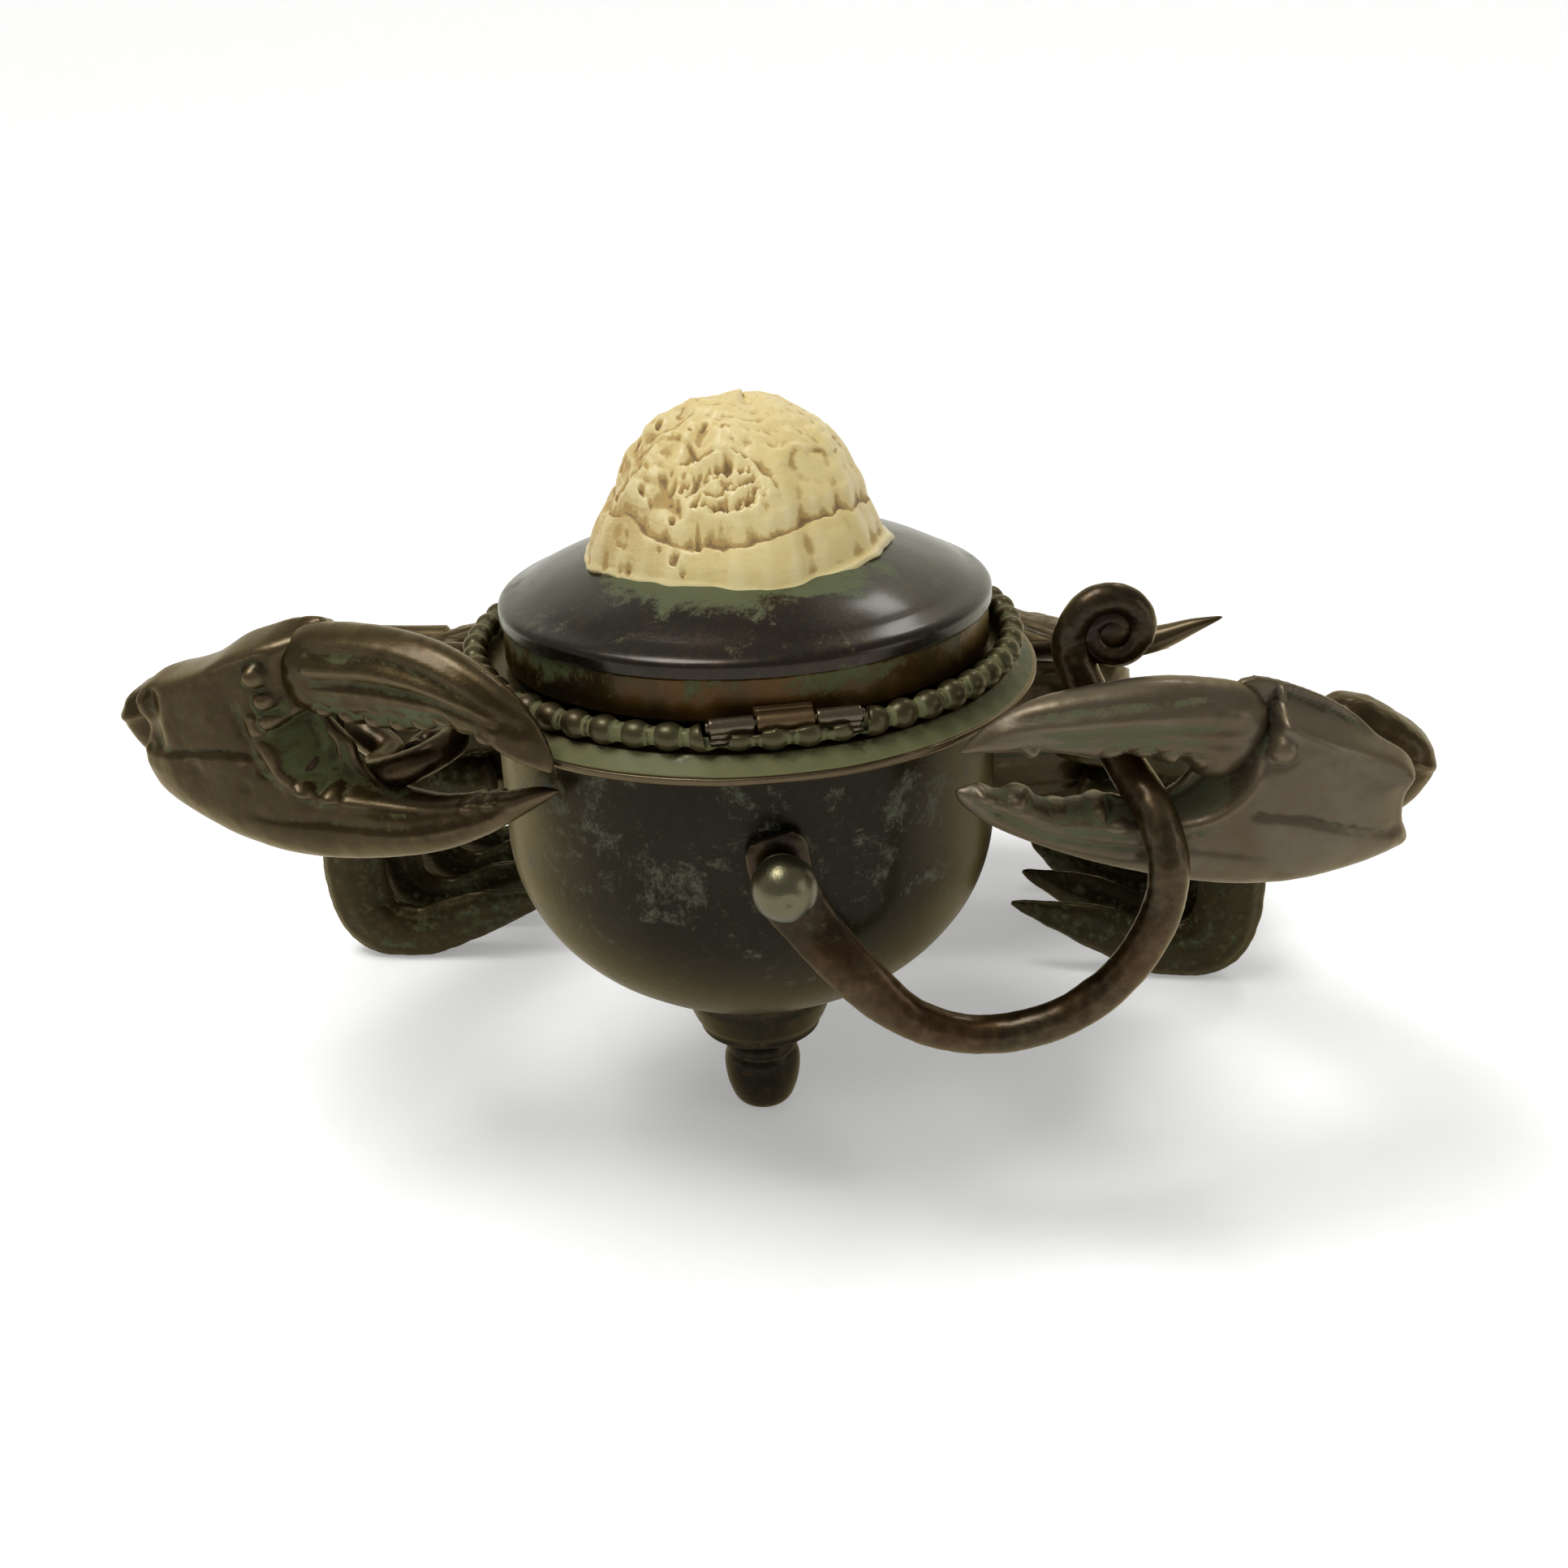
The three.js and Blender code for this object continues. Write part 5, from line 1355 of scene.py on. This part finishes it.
BODY_PITCH, BODY_FRONT = 26.0, [-2.5, 47.0, 63.0]
BACK_HALF_WIDTH, BACK_LENGTH, BACK_RISE, BACK_SAG = 69.0, 59.0, 10.0, 3.0
BACK_AHEAD, BACK_TOP = 0.28 * BACK_LENGTH, BACK_RISE + 2.6
SPINE_REACH, SPINE_LIFT = 77.5, {"left": 1.6, "right": 4.6}
TRUNK_CENTRE, TRUNK_HALF = np.array([-2.5, 70.5, 43.0]), np.array([63.0, 24.0, 22.5])
ELBOWS = {"left": [-80.5, 8, 61], "right": [85.5, 6.5, 59]}
WRIST_ENDS = {"left": [-87.0, -9.8, 69.6], "right": [92.0, -11.2, 67.4]}
CARPUS = {
    "left": [np.array([-87.2, -7.0, 70.4]), np.array([5.6, 5.2, 5.4]), 28],
    "right": [np.array([88.6, -8.2, 67.0]), np.array([9.6, 5.4, 7.0]), 32],
}
LEG_MIDDLE, LEG_REACH, LEG_RADIUS = -1.7, 79.8, 4.9


def body_place():
    return shifted(*BODY_FRONT) @ spun("X", -BODY_PITCH)


def back_edge(angle):
    """The back in plan: wide at the spines, nearly straight in front, drawn in towards the tail."""
    behind = np.sin(angle) > 0
    depth = np.where(behind, BACK_LENGTH - BACK_AHEAD, BACK_AHEAD)
    power = np.where(behind, 1.35, 2.6)
    c = np.abs(np.cos(angle) / BACK_HALF_WIDTH) ** power
    s = np.abs(np.sin(angle) / depth) ** power
    return (c + s) ** (-1 / power)


def back_shape():
    """The crab's back with its regions, a toothed front margin and a fine grain."""
    rows, columns = 150, 520
    angle = np.arange(columns) * TURN / columns
    share = np.linspace(0.01, 1, rows)
    f, a = np.meshgrid(share, angle, indexing="ij")
    edge = back_edge(a)
    x0 = np.cos(a) * edge
    front = smoothstep(-np.sin(a), 0.02, 0.12)
    teeth = np.abs(np.sin(x0 * math.pi / 5.6)) ** 0.6
    scallop = 1 - 0.055 * (1 - teeth) * front * smoothstep(np.abs(x0), 9, 14)
    reach = edge * f * (1 + (scallop - 1) * smoothstep(f, 0.75, 1.0))
    x, y = np.cos(a) * reach, BACK_AHEAD + np.sin(a) * reach
    z = BACK_RISE * (1 - f**2)
    flat = np.stack([x, y, np.zeros_like(x)], -1).reshape(-1, 3)

    def swell(cx, cy, wx, wy, height):
        return height * np.exp(-(((np.abs(x) - cx) / wx) ** 2) - ((y - cy) / wy) ** 2)

    z = z + swell(0, 14, 10, 8, 1.6) + swell(22, 18, 10, 9, 1.3) + swell(0, 32, 8, 8, 1.4)
    z = z + swell(36, 26, 14, 12, 1.5) + swell(16, 40, 9, 8, 1.0) + swell(0, 47, 9, 5, 0.9)
    groove = np.abs(x) - 10 - 0.12 * (y - 20)
    z = z - 0.7 * bump(groove, 1.2) * smoothstep(y, 6, 14) * smoothstep(-y, -48, -36)
    cross = y - 25 + 0.02 * np.abs(x) ** 1.5
    z = z - 0.55 * bump(cross, 1.3) * smoothstep(-np.abs(x), -40, -8)
    z = z - 0.5 * (1 - teeth) * front * bump(f - 0.93, 0.06) * smoothstep(np.abs(x0), 9, 14)
    rough = 0.28 * grain(flat, 2.2, 3, 3.0) + 0.5 * grain(flat, 12, 2, 8.0)
    z = z + rough.reshape(f.shape) * (1 - f**6)
    top = np.stack([x, y, np.minimum(z, BACK_TOP)], -1)
    g, b = np.meshgrid(np.linspace(0.98, 0.02, 40), angle, indexing="ij")
    low = back_edge(b) * g * 0.985
    sag = -BACK_SAG * np.sqrt(1 - g**2)
    under = np.stack([np.cos(b) * low, BACK_AHEAD + np.sin(b) * low, sag], -1)
    shapes = [skin(np.concatenate([top, under]))]
    for name, side in SIDES.items():
        lift = SPINE_LIFT[name]
        root = BACK_HALF_WIDTH - 9
        stations = [
            [side * root, 13, 0.2, 3.6, 2.8], [side * (root + 7), 11, 0.3 * lift, 2.9, 2.2],
            [side * (SPINE_REACH - 5), 8.5, 0.7 * lift, 1.6, 1.3],
            [side * (SPINE_REACH - 0.3), 7, lift, 0.25, 0.25],
        ]
        shapes.append(skin(loft(stations, 60, 28)))
    points, faces = merged(*shapes)
    return moved(points, body_place()), faces


def ball_grid(rows, columns, rule):
    """A closed body from a ball whose points a rule moves; rule takes and gives an (n, 3) array."""
    tilt = np.linspace(-math.pi / 2 + 0.02, math.pi / 2 - 0.02, rows)
    turn = np.arange(columns) * TURN / columns
    t, a = np.meshgrid(tilt, turn, indexing="ij")
    ball = np.stack([np.cos(t) * np.cos(a), np.cos(t) * np.sin(a), np.sin(t)], -1)
    return skin(rule(ball.reshape(-1, 3)).reshape(rows, columns, 3))


def trunk_shape():
    """The body under the back: rounded sides, with the plates' seams cut across its underside."""

    def rule(p):
        rounded = np.sign(p) * np.abs(p) ** 0.62
        q = TRUNK_CENTRE + rounded * TRUNK_HALF
        low = smoothstep(-p[:, 2], 0.35, 0.8)
        away = np.abs(q[:, 0] - TRUNK_CENTRE[0])
        seams = bump((q[:, 1] - TRUNK_CENTRE[1] + 0.10 * away + 30) % 8.2 - 4.1, 0.7)
        q[:, 2] += low * seams * smoothstep(away, 12, 18) * 0.9
        front = smoothstep(-p[:, 1], 0.3, 0.8) * smoothstep(np.abs(p[:, 2]), 0.9, 0.5)
        q[:, 1] += front * (0.5 * bump((q[:, 2] - 30) % 7.0 - 3.5, 0.6) + 0.3)
        q += 0.25 * grain(q, 4, 3, 17.0)[:, None] * p
        local = moved(q, np.linalg.inv(body_place()))
        local[:, 2] = np.minimum(local[:, 2], -BACK_SAG - 0.1)
        return moved(local, body_place())

    return ball_grid(130, 220, rule)


def apron_shape():
    """The tail, folded flat under the body, with a step at each of its rings."""
    low = TRUNK_CENTRE[2] - TRUNK_HALF[2] - 0.3

    def rule(p):
        taper = 1 - 0.45 * np.maximum(p[:, 1], 0)
        steps = 0.35 * bump((p[:, 1] * 17 + 40) % 5.0 - 2.5, 0.45)
        return np.column_stack([
            TRUNK_CENTRE[0] + 11 * p[:, 0] * taper, TRUNK_CENTRE[1] + 1.5 + 17 * p[:, 1],
            low - 0.9 + 1.0 * p[:, 2] + steps * (p[:, 2] < 0),
        ])

    return ball_grid(60, 90, rule)


def mouth_shape():
    """The plates over the mouth, with a seam down the middle and one each side."""
    face = TRUNK_CENTRE[1] - TRUNK_HALF[1] - 0.3

    def rule(p):
        seam = 0.6 * bump(p[:, 0] * 9, 0.5) + 0.3 * bump(np.abs(p[:, 0] * 9) - 4.8, 0.4)
        seam = seam + 0.35 * bump(p[:, 2] * 10 - 2.5, 0.5)
        depth = face - 1.2 + 1.2 * p[:, 1] + seam * (p[:, 1] < 0)
        return np.column_stack([TRUNK_CENTRE[0] + 9 * p[:, 0], depth, 45 + 10 * p[:, 2]])

    return ball_grid(60, 80, rule)


def eye_shape(side):
    """An eye on its short stalk."""
    x = BODY_FRONT[0]
    return skin(loft([
        [x + side * 9, 44.2, 59.5, 1.5, 1.5], [x + side * 11.5, 43.2, 62.6, 1.6, 1.6],
        [x + side * 13.2, 42.6, 65.4, 1.9, 1.9], [x + side * 13.6, 42.5, 66.2, 2.5, 2.5],
        [x + side * 14.2, 42.5, 68.4, 2.4, 2.4], [x + side * 14.6, 42.5, 69.8, 1.1, 1.1],
    ], 60, 32, (0, 1, 0)))


def limb(stations, seed, lift=(0, 0, 1), rings=130, sides=64, grooves=0.0):
    """A limb segment with lengthwise grooves and a cast grain."""

    def shape(angle, share):
        fade = np.sin(np.clip(share, 0, 1) * math.pi) ** 0.5
        furrows = 0.055 * np.cos(4 * angle + 0.7) + 0.03 * np.cos(9 * angle + 2 * share)
        return 1 - grooves * (0.05 - furrows) * fade

    sections = loft(stations, rings, sides, lift, shape)
    flat = sections.reshape(-1, 3)
    return pushed(sections, 0.18 * grain(flat, 4.0, 3, seed) + 0.07 * grain(flat, 1.1, 2, seed + 4) - 0.08)


def arm_shape(name):
    """The arm from the body out to the elbow."""
    side = SIDES[name]
    x, y, z = ELBOWS[name]
    shoulder = TRUNK_CENTRE[0] + side * 57
    return skin(limb([
        [shoulder - side * 10, 60, 43, 5.5, 6.5], [shoulder, 47, 47, 6.0, 7.2],
        [(shoulder + x) / 2 + side * 3, (38 + y) / 2, (52 + z) / 2, 6.2, 7.2],
        [x - side * 1.5, y + 4, z - 0.8, 5.6, 6.6], [x, y, z, 4.2, 5.2],
    ], 31.0 + side, grooves=0.6))


def wrist_shape(name):
    """The short segment behind the palm, with a knob on its outer side."""
    side = SIDES[name]
    start = np.array([ELBOWS[name][0] + side * 0.6, ELBOWS[name][1] - 1.6, ELBOWS[name][2] + 0.5])
    end = np.array(WRIST_ENDS[name])
    low, high = start + 0.3 * (end - start), start + 0.75 * (end - start)
    sections = limb([
        [*start, 4.6, 5.4], [low[0] + side * 1.2, low[1], low[2] + 0.4, 5.4, 6.8],
        [high[0] + side * 1.2, high[1], high[2] + 0.2, 5.2, 6.6], [*end, 4.2, 5.2],
    ], 41.0 + side, rings=90, grooves=0.7)
    middle, half, lean = CARPUS[name]
    slope = spun("Y", side * lean)

    def knob(p):
        q = np.sign(p) * np.abs(p) ** 0.72 * half
        ridge = 0.6 * bump(q[:, 2] - 2.0 - 0.25 * side * q[:, 0], 0.8) * smoothstep(-p[:, 1], -0.2, 0.4)
        q[:, 1] -= ridge
        q[:, 0] += side * 0.5 * ridge
        return moved(q + 0.15 * grain(q, 3, 3, 44.0 + side)[:, None] * p, slope) + middle

    return merged(skin(sections), ball_grid(70, 100, knob))


def leg_shape(side, row):
    """A folded leg: out of the body, down, round a blunt corner and back inwards along the ground."""
    y = 46 + 12.5 * row
    r = LEG_RADIUS - 0.25 * row

    def place(reach):
        return LEG_MIDDLE + side * reach * (1 - 0.035 * row)

    sections = limb([
        [place(LEG_REACH - 27), y + 5, 33, r * 0.9, r * 0.8],
        [place(LEG_REACH - 12), y + 2.5, 33, r * 1.15, r * 0.85],
        [place(LEG_REACH - 2), y, 26, r * 1.2, r * 0.8], [place(LEG_REACH), y - 1, 16, r * 1.2, r * 0.75],
        [place(LEG_REACH - 3), y - 1.5, 7, r * 1.25, r * 0.7],
        [place(LEG_REACH - 11), y - 1.5, r, r * 1.05, r * 0.62],
        [place(LEG_REACH - 22), y - 1, 8.4, r * 0.95, r * 0.5],
        [place(LEG_REACH - 38.5 + 3.5 * row), y, 12.8, 0.8, 0.6],
    ], 60.0 + 3 * row + side, (0, 1, 0), 170, 56, grooves=0.5)
    sections[..., 2] = np.maximum(sections[..., 2], 0.0)
    return skin(sections)


# ------------------------------------------------------------------ operators


LIGHT_AIM = Vector((0, 0, 70)) * MM
CAMERA_AIM = Vector((5.19, 0.0, 56.73)) * MM
RIM_MIDDLE_DROP = 2.3
SENSOR_WIDTH = 36


def light(name, place, size, power):
    """A soft rectangular light aimed at the pot; place and size are in metres."""
    lamp = bpy.data.lights.new(name, "AREA")
    lamp.shape = "RECTANGLE"
    lamp.size, lamp.size_y = size
    lamp.energy = power
    holder = bpy.data.objects.new(name, lamp)
    holder.location = place
    holder.rotation_euler = (LIGHT_AIM - Vector(place)).to_track_quat("-Z", "Y").to_euler()
    bpy.context.scene.collection.objects.link(holder)


class MakeStage(bpy.types.Operator):
    """Lay the pale floor, hang the soft lights and place the camera"""

    bl_idname = "inkwell.stage"
    bl_label = "Stage, light and camera"

    def execute(self, context):
        stage = bpy.context.scene.inkwell_stage
        scene = bpy.context.scene
        scene.view_settings.view_transform = "Standard"
        floor = bpy.data.objects.new("floor", self.sweep(3.5, 1.3, 1.6))
        scene.collection.objects.link(floor)
        world = bpy.data.worlds.new("studio")
        scene.world = world
        world.use_nodes = True
        world.node_tree.nodes["Background"].inputs["Color"].default_value = (1.0, 1.0, 1.0, 1.0)
        world.node_tree.nodes["Background"].inputs["Strength"].default_value = stage.room
        light("key", (-0.34, -0.14, 0.90), (0.55, 0.35), stage.key)
        light("lamp", (0.26, 0.52, 0.72), (0.15, 0.12), stage.lamp)
        light("left", (-1.0, -0.3, 0.35), (0.4, 0.5), stage.left)
        light("right", (1.0, -0.3, 0.35), (0.4, 0.5), stage.right)
        sun = bpy.data.lights.new("sun", "SUN")
        sun.energy, sun.angle = stage.sun, math.radians(25)
        above = bpy.data.objects.new("sun", sun)
        above.rotation_euler = Vector((0.30, 0.12, -0.93)).to_track_quat("-Z", "Y").to_euler()
        scene.collection.objects.link(above)
        rim = Vector((0, 0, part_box("rim_flange")[1].z - RIM_MIDDLE_DROP * MM))
        e, a = stage.elevation, stage.azimuth
        back = Vector((math.sin(a) * math.cos(e), -math.cos(a) * math.cos(e), math.sin(e)))
        place = rim + back * stage.distance
        turn = (CAMERA_AIM - place).to_track_quat("-Z", "Y").to_matrix()
        data = bpy.data.cameras.new("camera")
        data.sensor_width = SENSOR_WIDTH
        data.lens = stage.lens
        data.clip_start = 0.01
        camera = bpy.data.objects.new("camera", data)
        rolled = turn @ Matrix.Rotation(stage.roll, 3, "Z")
        camera.matrix_world = Matrix.Translation(place) @ rolled.to_4x4()
        scene.collection.objects.link(camera)
        scene.camera = camera
        return {"FINISHED"}

    def sweep(self, half, back, bend):
        """A floor that curves up into a backdrop behind the inkwell."""
        profile = [(-half, 0.0), (back, 0.0)]
        for angle in np.linspace(0, math.pi / 2, 25)[1:]:
            profile.append((back + bend * math.sin(angle), bend - bend * math.cos(angle)))
        profile.append((back + bend, bend + 2.0))
        points = [(x, y, z) for y, z in profile for x in (-half, half)]
        faces = [(2 * i, 2 * i + 1, 2 * i + 3, 2 * i + 2) for i in range(len(profile) - 1)]
        mesh = bpy.data.meshes.new("floor")
        mesh.from_pydata(points, [], faces)
        mesh.polygons.foreach_set("use_smooth", [True] * len(faces))
        mesh.materials.append(finish("floor"))
        return mesh


class MakePot(bpy.types.Operator):
    """Make the bowl, flange, bead ring and glass liner"""

    bl_idname = "inkwell.pot"
    bl_label = "Pot, rim and liner"

    def execute(self, context):
        piece("bowl_skin", bowl_shape(), finish("bowl"), nodes=["pot_bowl"])
        flange = piece("flange_skin", flange_shape(), finish("rim"),
                       nodes=["rim_flange"], reach=0.7)
        paint(flange, "lip", lambda p: math.hypot(p[0], p[1]) > FLANGE_RADIUS - 0.5)
        piece("bead_skin", bead_ring_shape(), finish("rim"), nodes=["bead_ring"], reach=0.8)
        piece("liner_skin", liner_shape(), finish("glass"), "liner", ["glass_liner"])
        return {"FINISHED"}


class MakeFoot(bpy.types.Operator):
    """Make the collar and the drop under the bowl"""

    bl_idname = "inkwell.foot"
    bl_label = "Foot"

    def execute(self, context):
        piece("collar_skin", collar_shape(), finish("foot"), nodes=["foot_collar"])
        piece("drop_skin", drop_shape(), finish("foot"), nodes=["foot_drop"])
        return {"FINISHED"}


class MakeLid(bpy.types.Operator):
    """Make the lid, its inner ring and the hinge"""

    bl_idname = "inkwell.lid"
    bl_label = "Lid and hinge"

    def execute(self, context):
        shape = lid_shape()
        made = piece("lid_skin", shape, finish("lid"), "lid", ["lid_shell"],
                     aged=lid_patina(shape[0]))
        inverse = np.linalg.inv(cover_place())
        paint(made, "lid skirt", lambda p: moved([p], inverse)[0][2] < SHOULDER - 1.3)
        piece("lid_ring_skin", lid_ring_shape(), finish("lid skirt"), "lid", ["lid_ring"])
        piece("pot_leaf_skin", pot_leaf_shape(), finish("hinge"),
              nodes=["hinge_pot_leaf"], reach=0.4)
        piece("lid_leaf_skin", lid_leaf_shape(), finish("hinge middle"), "lid",
              ["hinge_lid_leaf"], reach=0.4)
        return {"FINISHED"}


class MakeShell(bpy.types.Operator):
    """Make the oyster shell on the lid"""

    bl_idname = "inkwell.shell"
    bl_label = "Oyster shell"

    def execute(self, context):
        shape = shell_shape()
        aged = 1 - smoothstep(shape[0][:, 0], -20, 2)
        piece("shell_skin", shape, finish("shell"), "lid", ["oyster_shell"], 0.9, aged)
        return {"FINISHED"}


class MakeHooks(bpy.types.Operator):
    """Make the two hooks and their rivets"""

    bl_idname = "inkwell.hooks"
    bl_label = "Hooks and rivets"

    def execute(self, context):
        piece("front_hook_skin", front_hook_shape(), finish("hook"), nodes=["front_hook"])
        piece("side_hook_skin", side_hook_shape(), finish("hook"), nodes=["side_hook"])
        for name, azimuth in (("front", HOOK_AZIMUTH), ("side", SIDE_AZIMUTH)):
            piece(f"{name}_rivet_skin", rivet_shape(azimuth), finish("brass"),
                  nodes=[f"{name}_rivet"])
        return {"FINISHED"}


class MakeClaws(bpy.types.Operator):
    """Make the palms and fingers of both claws"""

    bl_idname = "inkwell.claws"
    bl_label = "Claws"

    def execute(self, context):
        # The right claw takes the painted lit copy of the crab bronze; the left claw takes the plain crab
        # bronze.
        for name, bronze, seed in (("left", "crab", 71.0), ("right", "pale crab", 76.0)):
            for part in ("palm", "finger"):
                mesh, aged = cast_claw(CLAWS[name], part, seed)
                node = f"{name}_{part}"
                dress(f"{node}_skin", mesh, finish(bronze), "stand", [node], RELIEF_REACH,
                      aged)
        return {"FINISHED"}


class MakeBody(bpy.types.Operator):
    """Make the crab's back, body, apron, mouth plates and eyes"""

    bl_idname = "inkwell.body"
    bl_label = "Crab body"

    def execute(self, context):
        shapes = {
            "carapace": back_shape, "underbody": trunk_shape, "apron": apron_shape,
            "mouth_plates": mouth_shape,
        }
        for node, shape in shapes.items():
            piece(f"{node}_skin", shape(), finish("crab"), nodes=[node])
        for name, side in SIDES.items():
            piece(f"{name}_eye_skin", eye_shape(side), finish("hinge"), nodes=[f"{name}_eye"])
        return {"FINISHED"}


class MakeLimbs(bpy.types.Operator):
    """Make the arms, wrists and legs"""

    bl_idname = "inkwell.limbs"
    bl_label = "Arms and legs"

    def execute(self, context):
        for name, side in SIDES.items():
            arm, wrist = f"{name}_arm", f"{name}_wrist"
            piece(f"{arm}_skin", arm_shape(name), finish("leg"), nodes=[arm])
            piece(f"{wrist}_skin", wrist_shape(name), finish("crab"), nodes=[wrist])
            for row, order in enumerate(("first", "second", "third", "fourth")):
                node = f"{name}_{order}_leg"
                piece(f"{node}_skin", leg_shape(side, row), finish("leg"), nodes=[node])
        return {"FINISHED"}


class FinishFittings(bpy.types.Operator):
    """Give the small carried-over fittings their finishes"""

    bl_idname = "inkwell.fittings"
    bl_label = "Small fittings"

    def execute(self, context):
        plain = {
            "foot_nut": "brass", "shell_screw": "brass", "hinge_pin": "brass",
            "front_rivet_washer": "brass", "side_rivet_washer": "brass", "shell_bedding": "pitch",
        }
        for node, name in plain.items():
            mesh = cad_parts[node].data
            mesh.materials.clear()
            mesh.materials.append(finish(name))
        return {"FINISHED"}


class InkwellPanel(bpy.types.Panel):
    """Lists the inkwell's operators, sizes and colours in the sidebar."""

    bl_idname = "VIEW3D_PT_inkwell"
    bl_label = "Inkwell"
    bl_space_type = "VIEW_3D"
    bl_region_type = "UI"
    bl_category = "Inkwell"

    def draw(self, context):
        layout = self.layout
        for operator in STEPS:
            layout.operator(operator.bl_idname)
        for name, group in GROUPS.items():
            box = layout.box()
            for key in group.__annotations__:
                box.prop(getattr(context.scene, name), key)


STEPS = (
    MakeStage, MakePot, MakeFoot, MakeLid, MakeShell, MakeHooks, MakeClaws, MakeBody, MakeLimbs,
    FinishFittings,
)
GROUPS = {
    "inkwell_sizes": InkwellSizes, "inkwell_colours": InkwellColours, "inkwell_stage": InkwellStage,
}


def register():
    for cls in (*GROUPS.values(), *STEPS, InkwellPanel):
        bpy.utils.register_class(cls)
    for name, group in GROUPS.items():
        setattr(bpy.types.Scene, name, PointerProperty(type=group))


def unregister():
    for name in GROUPS:
        delattr(bpy.types.Scene, name)
    for cls in reversed((*GROUPS.values(), *STEPS, InkwellPanel)):
        bpy.utils.unregister_class(cls)


def main():
    register()
    for step in STEPS:
        area, operator = step.bl_idname.split(".")
        getattr(getattr(bpy.ops, area), operator)()


if __name__ == "__main__":
    main()
